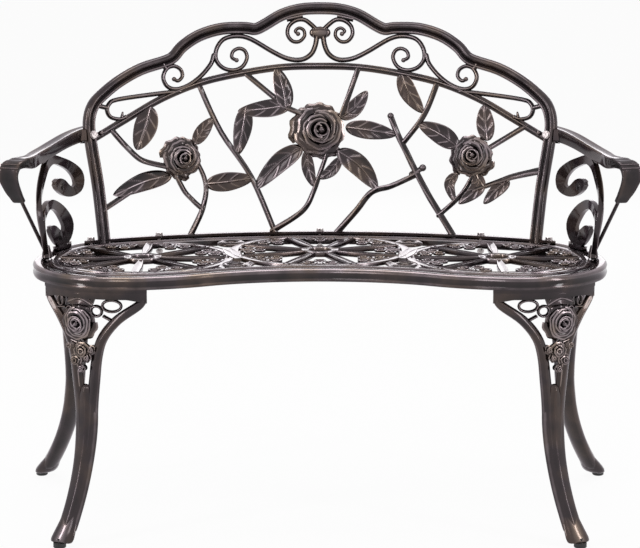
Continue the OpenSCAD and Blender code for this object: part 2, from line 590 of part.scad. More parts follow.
// the arm's bolt, from the front of the upright through the lug behind it
module arm_top_bolts() color(steel) shift() pair() on(back_pt, arm_bolt[0], arm_bolt[1])
    translate([0, 0, frame_d / 2]) bolt(frame_d + lug_t + bolt_end);
module arm_top_nuts() color(steel) shift() pair() on(back_pt, arm_bolt[0], arm_bolt[1])
    translate([0, 0, -frame_d / 2 - lug_t]) nut();

seat();
backrest();
arm(false);  // arm_left
arm(true);  // arm_right
leg(front_leg, front_holes, false);  // leg_front_left
leg(front_leg, front_holes, true);  // leg_front_right
leg(rear_leg, rear_holes, false);  // leg_rear_left
leg(rear_leg, rear_holes, true);  // leg_rear_right
glide(front_leg, false);  // glide_front_left
glide(front_leg, true);  // glide_front_right
glide(rear_leg, false);  // glide_rear_left
glide(rear_leg, true);  // glide_rear_right
back_bolts();
back_nuts();
leg_bolts();
leg_washers();
arm_leg_bolts();
arm_stem_screws();
arm_top_bolts();
arm_top_nuts();
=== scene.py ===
"""Cast aluminium garden bench: an openwork seat of three wheels, a bowed back of roses
and branches, two scrolled arms and four cabriole legs, under an antique bronze coat.

Routes and sizes of the castings are in millimetres, as a pattern maker writes them, and
skin() turns them to metres. Front is -Y, up is +Z, and left is the viewer's left."""
import math

import bmesh
import bpy
from bpy.props import FloatProperty, FloatVectorProperty, IntProperty, PointerProperty
from bpy.types import Operator, Panel, PropertyGroup
from mathutils import Matrix, Vector


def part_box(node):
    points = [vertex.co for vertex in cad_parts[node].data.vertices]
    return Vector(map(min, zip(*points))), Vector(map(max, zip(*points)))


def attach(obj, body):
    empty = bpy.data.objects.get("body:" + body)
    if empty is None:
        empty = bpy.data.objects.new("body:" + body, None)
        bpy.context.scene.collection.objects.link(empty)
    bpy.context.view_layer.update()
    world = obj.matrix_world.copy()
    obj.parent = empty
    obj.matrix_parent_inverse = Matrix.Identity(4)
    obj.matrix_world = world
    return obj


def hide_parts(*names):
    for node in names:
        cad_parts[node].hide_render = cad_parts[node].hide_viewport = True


bl_info = {
    "name": "Cast garden bench",
    "version": (1, 0, 0),
    "blender": (4, 5, 0),
    "location": "3D View > Sidebar > Bench",
    "description": "Dresses the packed frame of a two-seat garden bench with its finished castings",
    "category": "Add Mesh",
}

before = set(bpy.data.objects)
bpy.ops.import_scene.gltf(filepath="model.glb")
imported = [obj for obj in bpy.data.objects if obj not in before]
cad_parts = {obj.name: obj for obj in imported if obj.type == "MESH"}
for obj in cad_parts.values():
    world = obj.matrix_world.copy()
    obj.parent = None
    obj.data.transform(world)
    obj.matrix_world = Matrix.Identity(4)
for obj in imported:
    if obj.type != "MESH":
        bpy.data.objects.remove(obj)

MM = 0.001

# Places that the castings share with the frame, in mm: y is drawn from the seat's datum,
# which lies DATUM_Y in front of the middle of the footprint
SEAT_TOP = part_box("seat")[1].z / MM
RIM_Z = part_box("seat")[0].z / MM
DATUM_Y = 37.4
# a leg ends on its plug, and its toe turns out below TURN_Z
FOOT_Z = 8
TURN_Z = 210
# the back is bowed round a far centre, and leans
BOW_R = 834
BACK_Y = 220
BACK_LEAN = math.tan(math.radians(10))
# each arm stands on an arc round the end of the seat
ARM_CENTRE = (-288, 5)
ARM_R = 155
ARM_START = math.radians(121)
# the left and the middle wheel of the seat, and their hubs
SIDE_WHEEL = (-288, -2)
MID_WHEEL = (0, 66)
HUB_HOLE = 18
HUB_R = 31


# Curves, in mm

def smooth(points, steps, closed=False):
    """Smooth curve through all of the points, with steps stretches between each pair."""
    n = len(points)
    line = []
    for i in range(n if closed else n - 1):
        if closed:
            a, b, c, d = (points[(i + k) % n] for k in (-1, 0, 1, 2))
        else:
            a, b, c, d = points[max(i - 1, 0)], points[i], points[i + 1], points[min(i + 2, n - 1)]
        for j in range(steps):
            t = j / steps
            line.append(tuple(q + 0.5 * (t * (r - p) + t ** 2 * (2 * p - 5 * q + 4 * r - s)
                                         + t ** 3 * (3 * q - p - 3 * r + s))
                              for p, q, r, s in zip(a, b, c, d)))
    if not closed:
        line.append(tuple(points[-1]))
    return line


def both(points):
    """The left half of a route and its mirror image, joined at x = 0."""
    return points + [(-p[0], *p[1:]) for p in reversed(points[:-1])]


def sized(points, width):
    """The route with one width all along it."""
    return [(*p[:2], width) for p in points]


def taper(points, first, last):
    """The route with a width that goes evenly from first to last."""
    n = len(points) - 1
    return [(*p[:2], first + (last - first) * i / n) for i, p in enumerate(points)]


def spiral(centre, r0, r1, a0, a1, w0, w1, n):
    """Route round centre from radius r0 at angle a0 to r1 at a1, in degrees."""
    route = []
    for i in range(n + 1):
        s = i / n
        r, a = r0 + (r1 - r0) * s, math.radians(a0 + (a1 - a0) * s)
        route.append((centre[0] + r * math.cos(a), centre[1] + r * math.sin(a), w0 + (w1 - w0) * s))
    return route


def oval(centre, rx, ry, width, n=24):
    """Closed route round centre."""
    angles = [math.tau * j / n for j in range(n)]
    return [(centre[0] + rx * math.cos(a), centre[1] + ry * math.sin(a), width) for a in angles]


def ring(centre, r, width, n=24):
    return oval(centre, r, r, width, n)


# Surfaces that the castings follow: a place on the surface, d proud of it, in mm

def back_at(x, z, d=0):
    """On the back: x across and z above the seat."""
    q = math.sqrt(BOW_R ** 2 - x * x)
    normal = Vector((-x / q, -1, BACK_LEAN)).normalized()
    return Vector((x, BACK_Y - DATUM_Y - BOW_R + q + z * BACK_LEAN, SEAT_TOP + z)) + normal * d


def arm_at(u, z, d=0):
    """On the left arm: u forward along its foot and z above the seat. It leans outward, and
    more so towards its ends."""
    a = ARM_START + u / ARM_R
    r = ARM_R + (5 + 26 * ((u - 110) / 100) ** 2) * z / 160 + d
    return Vector((ARM_CENTRE[0] + r * math.cos(a), ARM_CENTRE[1] - DATUM_Y + r * math.sin(a), SEAT_TOP + z))


def leg_at(centre, radius, middle, turn_out, rake):
    """Surface of a leg whose top follows an arc under the rim, at an angle of middle degrees,
    and whose toe turns out below TURN_Z."""
    def place(a, z, d=0):
        t = math.radians(middle) + a / radius
        r = radius + d
        f, k = max(0, 1 - z / TURN_Z) ** 2, 1 - z / RIM_Z
        return Vector((centre[0] + r * math.cos(t) + turn_out[0] * f + rake[0] * k,
                       centre[1] - DATUM_Y + r * math.sin(t) + turn_out[1] * f + rake[1] * k, z))
    return place


front_leg_at = leg_at((-300, -30), 156, 245.5, (-41, -40), (0, 0))
rear_leg_at = leg_at((-280, 0), 166, 142, (-64, 63), (-14, 30))


def seat_at(x, y, d=0):
    """On the seat's openwork, which lies a little below the rim's lips."""
    return Vector((x, y - DATUM_Y, SEAT_TOP - 1 + d))


def stand_on(surface, u, z, turn=0, lift=0):
    """Matrix that stands a piece on a surface, +Z outward, turned in degrees."""
    origin = surface(u, z, lift)
    out = (surface(u, z, lift + 1) - origin).normalized()
    y = out.cross(surface(u + 1, z, lift) - origin).normalized()
    x = y.cross(out)
    basis = Matrix((x, y, out)).transposed().to_4x4()
    return Matrix.Translation(origin) @ basis @ Matrix.Rotation(math.radians(turn), 4, "Z")


# Sections of the bars, one unit wide and one unit deep: (across, out, paint level), where out is
# positive on the face, and the paint level is 0 in a groove, where shade is painted, and 1 on a ridge,
# painted pale as wear and highlight

def drawn(points):
    """Section whose corners are rounded off."""
    return smooth(points, 2, closed=True)


ROUND = [(0.5 * math.cos(a), 0.5 * math.sin(a), 0.3 + 0.5 * max(0, math.sin(a)) ** 6)
         for a in (math.tau * j / 14 for j in range(14))]
# rounded bar with a narrow crest, painted pale as wear and highlight
CREST = drawn([(-0.5, -0.3, 0.2), (-0.5, 0.08, 0.3), (-0.3, 0.34, 0.12), (-0.12, 0.46, 0.3),
               (-0.03, 0.5, 0.95), (0.07, 0.5, 0.9), (0.16, 0.44, 0.25), (0.32, 0.32, 0.12),
               (0.5, 0.08, 0.35), (0.5, -0.3, 0.2), (0.2, -0.5, 0.2), (-0.2, -0.5, 0.2)])
# flat bar with thin raised edges
SLAB = [(-0.5, -0.42, 0.3), (-0.5, 0.3, 0.4), (-0.45, 0.46, 0.9), (-0.36, 0.4, 0.3), (-0.2, 0.36, 0.25),
        (0.2, 0.36, 0.25), (0.36, 0.4, 0.3), (0.45, 0.46, 0.9), (0.5, 0.3, 0.4), (0.5, -0.42, 0.3)]
# flat bar of the seat, painted paler than SLAB as the sheen of the seat's flat top
SLAB_WITH_SHEEN = [(x, y, min(0.9, wear_and_shading + 0.2)) for x, y, wear_and_shading in SLAB]
# raised edges with a hollow between them
CHANNEL = both([(-0.5, -0.5, 0.2), (-0.5, 0.3, 0.3), (-0.43, 0.48, 0.7), (-0.32, 0.46, 0.5),
                (-0.22, 0.34, 0.2), (0, 0.3, 0.2)])
# broad dome with a fine line along its middle and along its left edge, both painted pale as highlights
SHIN = drawn([(-0.5, -0.3, 0.2), (-0.5, 0, 0.5), (-0.44, 0.16, 0.6), (-0.34, 0.26, 0.35),
              (-0.12, 0.43, 0.25), (-0.04, 0.5, 0.5), (0.05, 0.48, 0.3), (0.2, 0.38, 0.3), (0.4, 0.2, 0.3),
              (0.5, 0, 0.4), (0.5, -0.3, 0.2), (0.2, -0.5, 0.2), (-0.2, -0.5, 0.2)])
# ridge between two hollows, with thin edges
RIDGE = drawn([*both([(-0.5, -0.3, 0.2), (-0.5, 0.1, 0.7), (-0.4, 0.2, 0.5), (-0.24, 0.24, 0.1),
                      (-0.1, 0.42, 0.4), (0, 0.5, 0.9)]), (0.2, -0.48, 0.2), (-0.2, -0.48, 0.2)])
# the arched frame: a broad bead outside, a groove and a thin bead along the inner edge
MOULDING = drawn([(-0.5, -0.3, 0.2), (-0.5, 0.06, 0.4), (-0.43, 0.22, 0.8), (-0.33, 0.24, 0.6),
                  (-0.25, 0.17, 0.3), (-0.2, 0.14, 0.18), (-0.13, 0.22, 0.3), (-0.04, 0.34, 0.4),
                  (0.08, 0.45, 0.55), (0.2, 0.46, 0.5), (0.36, 0.36, 0.4), (0.47, 0.14, 0.35),
                  (0.5, -0.1, 0.4), (0.46, -0.32, 0.2), (0.2, -0.48, 0.2), (-0.2, -0.48, 0.2)])
# a twig: one flat facet, and a painted highlight line along its edge
TWIG = drawn([(-0.5, -0.2, 0.3), (-0.44, 0.2, 0.5), (-0.26, 0.42, 1), (-0.12, 0.46, 0.7), (0.1, 0.36, 0.1),
              (0.38, 0.24, 0.2), (0.5, -0.1, 0.3), (0.28, -0.44, 0.2), (-0.2, -0.46, 0.2)])
BLOCK = [(-0.5, -0.5, 0.2), (0.5, -0.5, 0.2), (0.5, 0.5, 0.3), (-0.5, 0.5, 0.3)]
# the back's bottom rail: a flat bar with small rounds at its corners
FLAT = [(-0.5, -0.45, 0.2), (-0.5, 0.45, 0.4), (-0.44, 0.5, 0.7), (0.44, 0.5, 0.6), (0.5, 0.45, 0.4),
        (0.5, -0.45, 0.2), (0.44, -0.5, 0.1), (-0.44, -0.5, 0.1)]
# the arm's rail: upright faces, and a top between two lips painted pale as wear and highlight
ARM_SECTION = [(-0.5, -0.44, 0.2), (-0.5, 0, 0.2), (-0.5, 0.34, 0.3), (-0.48, 0.45, 0.8), (-0.42, 0.5, 0.9),
               (-0.3, 0.47, 0.4), (0, 0.44, 0.3), (0.3, 0.47, 0.4), (0.42, 0.5, 0.9), (0.48, 0.45, 0.8),
               (0.5, 0.34, 0.3), (0.5, 0, 0.15), (0.5, -0.3, 0.2), (0.48, -0.46, 0.5), (0.4, -0.5, 0.3),
               (-0.4, -0.5, 0.2)]


# Making of the meshes

def clamp(x, low=0.0, high=1.0):
    return max(low, min(high, x))


def skin(bm, along, around, place):
    """Closed skin over place(s, t) -> (point in mm, paint level, 0 for painted groove shade and 1 for a pale
    ridge of wear and painted highlight): s runs along it and t round it.
    """
    part = bmesh.new()
    wear_and_shading_layer = part.verts.layers.float.new("wear_and_shading")
    for v in bmesh.ops.create_grid(part, x_segments=along, y_segments=around, size=0.5)["verts"]:
        point, wear_and_shading = place(v.co.x + 0.5, v.co.y + 0.5)
        v.co = Vector(point) * MM
        v[wear_and_shading_layer] = wear_and_shading
    bmesh.ops.remove_doubles(part, verts=part.verts[:], dist=2e-6)
    rims = [e for e in part.edges if e.is_boundary]
    if rims:
        bmesh.ops.holes_fill(part, edges=rims, sides=0)
    # made by itself and joined afterwards, which is quick however large the piece grows
    mesh = bpy.data.meshes.new("part")
    part.to_mesh(mesh)
    part.free()
    bm.from_mesh(mesh)
    bpy.data.meshes.remove(mesh)


def loft(bm, rings, section, closed=False):
    """Skin through rings of (origin, side vector, out vector), round a unit section."""
    n, m = len(rings), len(section)
    span = n if closed else n - 1

    def place(s, t):
        origin, side, out = rings[round(s * span) % n]
        x, y, wear_and_shading = section[round(t * m) % m]
        return origin + side * x + out * y, clamp(wear_and_shading)
    skin(bm, span, m, place)


def rounded(line):
    """Adds stations to each end of a line, where the bar closes in a half round."""
    def end(a, b):
        stations = []
        for k in (0.5, 0.85, 0.98):
            u, z = Vector(a[:2]) + (Vector(a[:2]) - Vector(b[:2])).normalized() * a[2] / 2 * k
            thin = math.sqrt(1 - k * k)
            stations.append((u, z, a[2] * thin, thin))
        return stations
    return list(reversed(end(line[0], line[1]))) + line + end(line[-1], line[-2])


def bar(bm, surface, route, depth, section=CREST, lift=0, steps=4, closed=False, ends=False, twist=0):
    """Sweeps a bar along a route of (across, up, width) on a surface. Its ends may be rounded,
    and it may twist to and fro by an angle in radians."""
    line = [(u, z, w, 1) for u, z, w in smooth(route, steps, closed)]
    if ends:
        line = rounded(line)
    n = len(line)
    rings = []
    for i, (u, z, w, thin) in enumerate(line):
        a, b = (line[i - 1], line[(i + 1) % n]) if closed else (line[max(i - 1, 0)], line[min(i + 1, n - 1)])
        origin = surface(u, z, lift)
        up = (surface(u, z, lift + 1) - origin).normalized()
        way = (surface(b[0], b[1], lift) - surface(a[0], a[1], lift)).normalized()
        side = up.cross(way).normalized()
        out = way.cross(side)
        if twist:
            turn = Matrix.Rotation(twist * math.sin(i * 0.7), 3, way)
            side, out = turn @ side, turn @ out
        rings.append((origin, side * w, out * depth * thin))
    loft(bm, rings, section, closed)


# Height of a leaf's midrib and side veins, and the thickness of its blade
MIDRIB, SIDE_VEIN, BLADE_T = 1.8, 1.1, 3.2


def leaf(bm, surface, route, width, lift=1, curl=3.0, lean=0.0, veins=4):
    """A cast leaf: cupped blade, thin raised midrib and slanting side veins, from stalk to tip."""
    line = smooth([(*p[:2], 0) for p in route], 20)
    n = len(line) - 1

    def place(s, t):
        i = round(s * n)
        (u0, z0, _), (u, z, _), (u1, z1, _) = line[max(i - 1, 0)], line[i], line[min(i + 1, n)]
        across = Vector((z0 - z1, u1 - u0)).normalized()
        q = 4 * t - 1 if t <= 0.5 else 3 - 4 * t
        half = 0.5 * (1 + (width + 1.5) * math.sin(math.pi * clamp(s, 0, 0.999) ** 0.85) ** 0.75)
        x = q * half
        edge = abs(q)
        cup = curl * (edge ** 2 - 0.35) * math.sin(math.pi * min(1, s * 1.1)) + lean * q
        rib = math.exp(-(x / 1.1) ** 2)
        vein = max(0, math.cos(math.tau * (s * veins - edge * 0.9))) ** 9
        vein *= min(1, 4 * (1 - edge)) * min(1, 4 * edge)
        front = cup + (MIDRIB * rib + SIDE_VEIN * vein) * (1 - s ** 3)
        wall = BLADE_T * math.sqrt(max(0, 1 - edge ** 2)) * min(1, 8 * (1 - s) + 0.1, 8 * s + 0.3)
        height = front + wall / 2 if t <= 0.5 else cup - wall / 2
        lip = clamp((edge - 0.82) / 0.18)
        # the midrib, side veins and lip are painted pale as wear and highlight, and one half of the blade is
        # painted a little paler than the other, as its sheen
        wear_and_shading = 0.3 + 0.1 * q * lean + 0.8 * max(rib, 0.85 * vein, 0.6 * lip) if t <= 0.5 else 0.2
        return surface(u + across.x * x, z + across.y * x, lift + height), clamp(wear_and_shading)
    skin(bm, n, 44, place)


PETAL_WALL = 1.6


def petal(bm, stand, inner, outer, base, lip, span, turn, roll, wave, swirl):
    """One petal of a rose: it rises from base to lip, its rim rolls outward, and one of its
    ends lies further out than the other, over the next petal."""
    steps = 14

    def place(s, t):
        q = 4 * t - 1 if t <= 0.5 else 3 - 4 * t
        side = abs(q)
        a = math.radians(turn + q * span / 2)
        fall = 1 - 0.35 * side ** 2.5
        wavy = (1 + wave * math.cos(3 * q * math.pi)) * (0.86 + 0.14 * fall)
        r = (inner + (outer - inner) * s ** 1.8 * wavy) * (1 + swirl * q)
        h = base + (lip - base) * math.sin(min(1, s * (1 + roll)) * math.pi / 2) * fall
        h -= (lip - base) * roll * max(0, s - 0.72) ** 2 * 9
        thick = PETAL_WALL * math.sqrt(max(0, 1 - side ** 4)) * (1 - 0.35 * s ** 4)
        inward = thick / 2 if t <= 0.5 else -thick / 2
        point = Vector(((r - inward) * math.cos(a), (r - inward) * math.sin(a), h + inward * 0.6))
        # only the very rim is painted pale as wear and highlight; the wall is painted darker towards its
        # base, as shade
        rim = 0.75 * clamp(s * steps - steps + 1.8)
        return stand @ point, 0.28 * s + rim if t <= 0.5 else 0.42 + 0.5 * rim
    skin(bm, steps, 28, place)


# Tiers of petals from the outside in: (petals, base radius, lip radius, lip height, roll of
# the rim), with radii and heights as shares of the flower's own
FULL_BLOWN = ((6, 0.6, 1, 0.16, 0.7), (5, 0.52, 0.84, 0.4, 0.4), (4, 0.44, 0.68, 0.6, 0.2),
              (4, 0.35, 0.53, 0.76, 0.15), (3, 0.25, 0.39, 0.88, 0.1), (3, 0.16, 0.26, 0.96, 0),
              (2, 0.06, 0.14, 1, 0))
LEG_ROSE = ((5, 0.62, 1, 0.16, 0.7), (4, 0.54, 0.84, 0.45, 0.3), (3, 0.46, 0.7, 0.66, 0.15),
            (3, 0.36, 0.56, 0.8, 0.1), (2, 0.26, 0.43, 0.9, 0), (2, 0.17, 0.31, 0.96, 0),
            (2, 0.07, 0.18, 1, 0))
BUD = ((4, 0.5, 1, 0.5, 0.3), (3, 0.3, 0.66, 0.8, 0.1), (2, 0.1, 0.36, 1, 0))


def rose(bm, stand, radius, height, tiers=FULL_BLOWN):
    """A rose of tiers of petals round an eye, on a round boss with a plain flat back."""
    def boss(s, t):
        a, r = math.tau * t, 0.8 * math.sin(math.pi * s)
        h = max(-0.26, 0.5 - 2.3 * r * r) if s > 0.5 else -0.35
        point = Vector((radius * r * math.cos(a), radius * r * math.sin(a), height * h - 1))
        # the boss's face, deep between the petals, is painted near black as shade; its flat back is plain
        return stand @ point, 0.42 if s < 0.5 else 0.05
    skin(bm, 24, 24, boss)

    def eye(s, t):
        a, r, off = math.tau * t, radius * 0.16 * math.sin(math.pi * s), radius * 0.04
        h = height * (0.52 - 0.4 * math.cos(math.pi * s))
        return stand @ Vector((off + r * math.cos(a), r * math.sin(a) - off, h)), 0.3 + max(0, s - 0.6)
    skin(bm, 10, 14, eye)
    for k, (count, inner, outer, lip, roll) in enumerate(tiers):
        # a cast rose isn't regular: each tier stands a little off the middle, and no petal
        # is quite like the next
        loose = outer ** 2
        shift = radius * 0.09 * (1 - outer)
        tier = stand @ Matrix.Translation((shift * math.cos(2.4 * k), shift * math.sin(2.4 * k), 0))
        for j in range(count):
            odd = ((j * 7 + k * 5) % 5 - 2) / 2
            petal(bm, tier, inner=radius * inner, outer=radius * outer * (1 + (0.07 + 0.05 * loose) * odd),
                  base=height * (0.84 * lip - 0.34), lip=height * (0.84 * lip - 0.02) + (1.1 + loose) * odd,
                  span=360 / count * (1.3 + 0.15 * odd), turn=360 / count * j + 53 * k + 13 * odd, roll=roll,
                  wave=0.04 + 0.05 * loose, swirl=(0.13 - 0.07 * outer) * (-1 if k % 3 == 1 else 1))


def knob(bm, surface, u, z, r, depth, lift=0, wear_and_shading_value=0.7):
    """A round boss, such as the eye at the end of a scroll."""
    stand = stand_on(surface, u, z, lift=lift)

    def place(s, t):
        a, c = math.tau * t, math.pi * s
        h = -depth / 2 * math.cos(c)
        # the crest is painted pale as wear and highlight, and the lower half dark, as shade
        return (stand @ Vector((r * math.sin(c) * math.cos(a), r * math.sin(c) * math.sin(a), h)),
                clamp(h / depth * 2 * wear_and_shading_value, 0.15))
    skin(bm, 12, 22, place)


def mirrored(bm):
    """Copies all of the mesh to the other side of the bench."""
    copy = bmesh.ops.duplicate(bm, geom=bm.verts[:] + bm.edges[:] + bm.faces[:])["geom"]
    verts = [g for g in copy if isinstance(g, bmesh.types.BMVert)]
    bmesh.ops.scale(bm, vec=(-1, 1, 1), verts=verts)


def turned(stand):
    """Surface of a flat piece that a matrix stands in place."""
    return lambda u, z, d=0: stand @ Vector((u, z, d))


def new_object(bm, name, material):
    """Object at the origin with the finished mesh and one material."""
    mesh = bpy.data.meshes.new(name)
    bm.to_mesh(mesh)
    bm.free()
    mesh.materials.append(material)
    thing = bpy.data.objects.new(name, mesh)
    bpy.context.scene.collection.objects.link(thing)
    return thing


def finish_casting(bm, name, node):
    """Coats a casting, which stands for a node of the frame. Edges over 42 degrees stay sharp."""
    bmesh.ops.recalc_face_normals(bm, faces=bm.faces[:])
    casting = new_object(bm, name, coat())
    mesh = casting.data
    mesh.polygons.foreach_set("use_smooth", [True] * len(mesh.polygons))
    mesh.set_sharp_from_angle(angle=math.radians(42))
    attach(casting, "root")
    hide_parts(node)


# Colours and materials

def linear(code):
    """sRGB hex to the linear colour that the shaders take."""
    parts = [int(code[i:i + 2], 16) / 255 for i in (1, 3, 5)]
    return [c / 12.92 if c <= 0.04045 else ((c + 0.055) / 1.055) ** 2.4 for c in parts]


def add(tree, kind, settings=None, **inputs):
    """Adds a node, with its settings, and its inputs as values or as sockets to link. An input
    is called by its name, with _ for a space, or by its number, as i0."""
    node = tree.nodes.new(kind)
    for name, value in (settings or {}).items():
        setattr(node, name, value)
    for name, value in inputs.items():
        numbered = name[0] == "i" and name[1:].isdigit()
        socket = node.inputs[int(name[1:]) if numbered else name.replace("_", " ")]
        if isinstance(value, bpy.types.NodeSocket):
            tree.links.new(value, socket)
        else:
            socket.default_value = value
    return node


def new_material(name):
    material = bpy.data.materials.new(name)
    material.use_nodes = True
    material.node_tree.nodes.clear()
    return material, material.node_tree


def per_mm(size):
    """Noise scale whose features are about size mm across."""
    return 1 / (size * MM)


def ramp(tree, factor, stops):
    """Colours at places along the factor, blended between them."""
    node = add(tree, "ShaderNodeValToRGB", i0=factor)
    points = node.color_ramp.elements
    while len(points) < len(stops):
        points.new(0.5)
    for point, (place, colour) in zip(points, stops):
        point.position = place
        point.color = (*colour, 1)
    return node.outputs["Color"]


def bronze_coat(finish, name):
    """Antique bronze powder coat over sand-cast aluminium: a dark satin skin, painted nearly black
    in the grooves as shade, brown in broad patches, and pale along the ridges, as wear and painted
    highlights."""
    material, tree = new_material(name)
    place = add(tree, "ShaderNodeTexCoord").outputs["Object"]
    patches = add(tree, "ShaderNodeTexNoise", Vector=place, Scale=per_mm(70), Detail=3.0, Roughness=0.5)
    clouds = add(tree, "ShaderNodeTexNoise", Vector=place, Scale=per_mm(30), Detail=3.0, Roughness=0.5)
    grain = add(tree, "ShaderNodeTexNoise", Vector=place, Scale=per_mm(1.8), Detail=3.0, Roughness=0.6)
    wear_and_shading_value = add(tree, "ShaderNodeAttribute", {"attribute_name": "wear_and_shading"}).outputs["Fac"]
    # the painted shade and pale ridges are uneven: they come and go along a ridge
    uneven = add(tree, "ShaderNodeMath", {"operation": "MULTIPLY_ADD"}, i0=clouds.outputs[0], i1=0.4, i2=-0.2)
    level = add(tree, "ShaderNodeMath", {"operation": "ADD", "use_clamp": True}, i0=wear_and_shading_value,
                i1=uneven.outputs[0])
    brown = ramp(tree, patches.outputs[0], [(0.44, finish.coat), (0.6, finish.warm)])
    pale = ramp(tree, patches.outputs[0], [(0.46, finish.pale_wear_and_sheen), (0.62, finish.warm_pale_wear_and_sheen)])
    # painted shade: near black where the level is low, in the grooves
    dark = add(tree, "ShaderNodeMapRange", Value=level.outputs[0], From_Min=0.02, From_Max=0.3)
    groove = add(tree, "ShaderNodeMix", {"data_type": "RGBA"}, i0=dark.outputs[0], i6=(*finish.shade, 1),
                 i7=brown)
    # pale ridges, partly wear and partly painted highlight, where the level is high
    ridge = add(tree, "ShaderNodeMapRange", Value=level.outputs[0], From_Min=0.45, From_Max=1.0)
    colour = add(tree, "ShaderNodeMix", {"data_type": "RGBA"}, i0=ridge.outputs[0], i6=groove.outputs[2],
                 i7=pale)
    rough = add(tree, "ShaderNodeMapRange", Value=clouds.outputs[0], From_Min=0.3, From_Max=0.7,
                To_Min=0.18, To_Max=0.28)
    bump = add(tree, "ShaderNodeBump", Strength=0.02, Distance=0.5 * MM, Height=grain.outputs[0])
    # the tint keeps flat faces lilac grey where they are seen at a low angle
    shader = add(tree, "ShaderNodeBsdfPrincipled", Base_Color=colour.outputs[2], Metallic=0.9,
                 Specular_Tint=(*finish.glance, 1), Roughness=rough.outputs[0], Coat_Weight=0.6,
                 Coat_Roughness=0.08, Normal=bump.outputs[0])
    add(tree, "ShaderNodeOutputMaterial", Surface=shader.outputs[0])
    return material


def plated_steel(finish):
    """Zinc-plated steel of the bolts: light and satin, with duller clouds."""
    material, tree = new_material("Zinc-plated steel")
    place = add(tree, "ShaderNodeTexCoord").outputs["Object"]
    specks = add(tree, "ShaderNodeTexNoise", Vector=place, Scale=per_mm(3), Detail=4.0)
    colour = ramp(tree, specks.outputs[0], [(0.3, finish.pale_wear_and_sheen), (0.55, finish.steel)])
    rough = add(tree, "ShaderNodeMapRange", Value=specks.outputs[0], To_Min=0.18, To_Max=0.4)
    shader = add(tree, "ShaderNodeBsdfPrincipled", Base_Color=colour, Metallic=1.0,
                 Roughness=rough.outputs[0])
    add(tree, "ShaderNodeOutputMaterial", Surface=shader.outputs[0])
    return material


def moulded_plastic(finish):
    """Black polyethylene foot plug: matt, with a fine moulded grain and a trace of dust."""
    material, tree = new_material("Moulded black plastic")
    place = add(tree, "ShaderNodeTexCoord").outputs["Object"]
    grain = add(tree, "ShaderNodeTexNoise", Vector=place, Scale=per_mm(0.9), Detail=3.0)
    dust = add(tree, "ShaderNodeTexNoise", Vector=place, Scale=per_mm(8), Detail=4.0)
    colour = ramp(tree, dust.outputs[0], [(0.4, finish.plastic), (0.8, finish.dust)])
    rough = add(tree, "ShaderNodeMapRange", Value=dust.outputs[0], To_Min=0.45, To_Max=0.65)
    bump = add(tree, "ShaderNodeBump", Strength=0.2, Distance=0.2 * MM, Height=grain.outputs[0])
    shader = add(tree, "ShaderNodeBsdfPrincipled", Base_Color=colour, Roughness=rough.outputs[0],
                 Normal=bump.outputs[0])
    add(tree, "ShaderNodeOutputMaterial", Surface=shader.outputs[0])
    return material


def seen_white(tree):
    """1 for the rays that see the white room itself, 0 for those that only gather light."""
    path = add(tree, "ShaderNodeLightPath")
    seen = add(tree, "ShaderNodeMath", {"operation": "MAXIMUM"}, i0=path.outputs["Is Camera Ray"],
               i1=path.outputs["Is Glossy Ray"])
    return add(tree, "ShaderNodeMath", {"operation": "MAXIMUM"}, i0=seen.outputs[0],
               i1=path.outputs["Is Transmission Ray"]).outputs[0]


def white_ground(finish):
    """White paper sheet: white where it is seen, with a faint shadow, and matt under the lamps."""
    material, tree = new_material("White paper sheet")
    share = add(tree, "ShaderNodeMapRange", Value=seen_white(tree), To_Max=1 - finish.shadow)
    matt = add(tree, "ShaderNodeBsdfDiffuse", Color=(*finish.ground, 1))
    glow = add(tree, "ShaderNodeEmission", Color=(1, 1, 1, 1), Strength=1.0)
    shader = add(tree, "ShaderNodeMixShader", i0=share.outputs[0], i1=matt.outputs[0], i2=glow.outputs[0])
    add(tree, "ShaderNodeOutputMaterial", Surface=shader.outputs[0])
    return material


# Properties

def length(name, description, default):
    return FloatProperty(name=name, description=description, default=default, unit="LENGTH")


def colour_of(name, description, code):
    return FloatVectorProperty(name=name, description=description, default=linear(code), subtype="COLOR")


class BenchSizes(PropertyGroup):
    frame_w: length("Frame width", "Width of the arched frame's bar", 0.021)
    frame_d: length("Frame depth", "Depth of the arched frame's bar", 0.018)
    branch_w: length("Branch width", "Width of the branches and scrolls", 0.009)
    rose_r: length("Rose radius", "Radius of the middle rose", 0.047)
    arm_w: length("Arm width", "Width of the arm's rail from above", 0.02)
    arm_t: length("Arm thickness", "Thickness of the arm's rail", 0.02)
    scroll_w: length("Scroll width", "Width of the bars of the arm's scrolls", 0.013)
    ankle_w: length("Ankle width", "Width of the lower leg", 0.031)
    leg_t: length("Leg thickness", "Thickness of the lower leg", 0.015)
    rim_w: length("Rim width", "Width of the seat's rim", 0.044)
    wheel_r: length("Wheel radius", "Radius of the seat's wheels", 0.143)
    spokes: IntProperty(name="Spokes", description="Spokes in each wheel of the seat", default=8, min=3)


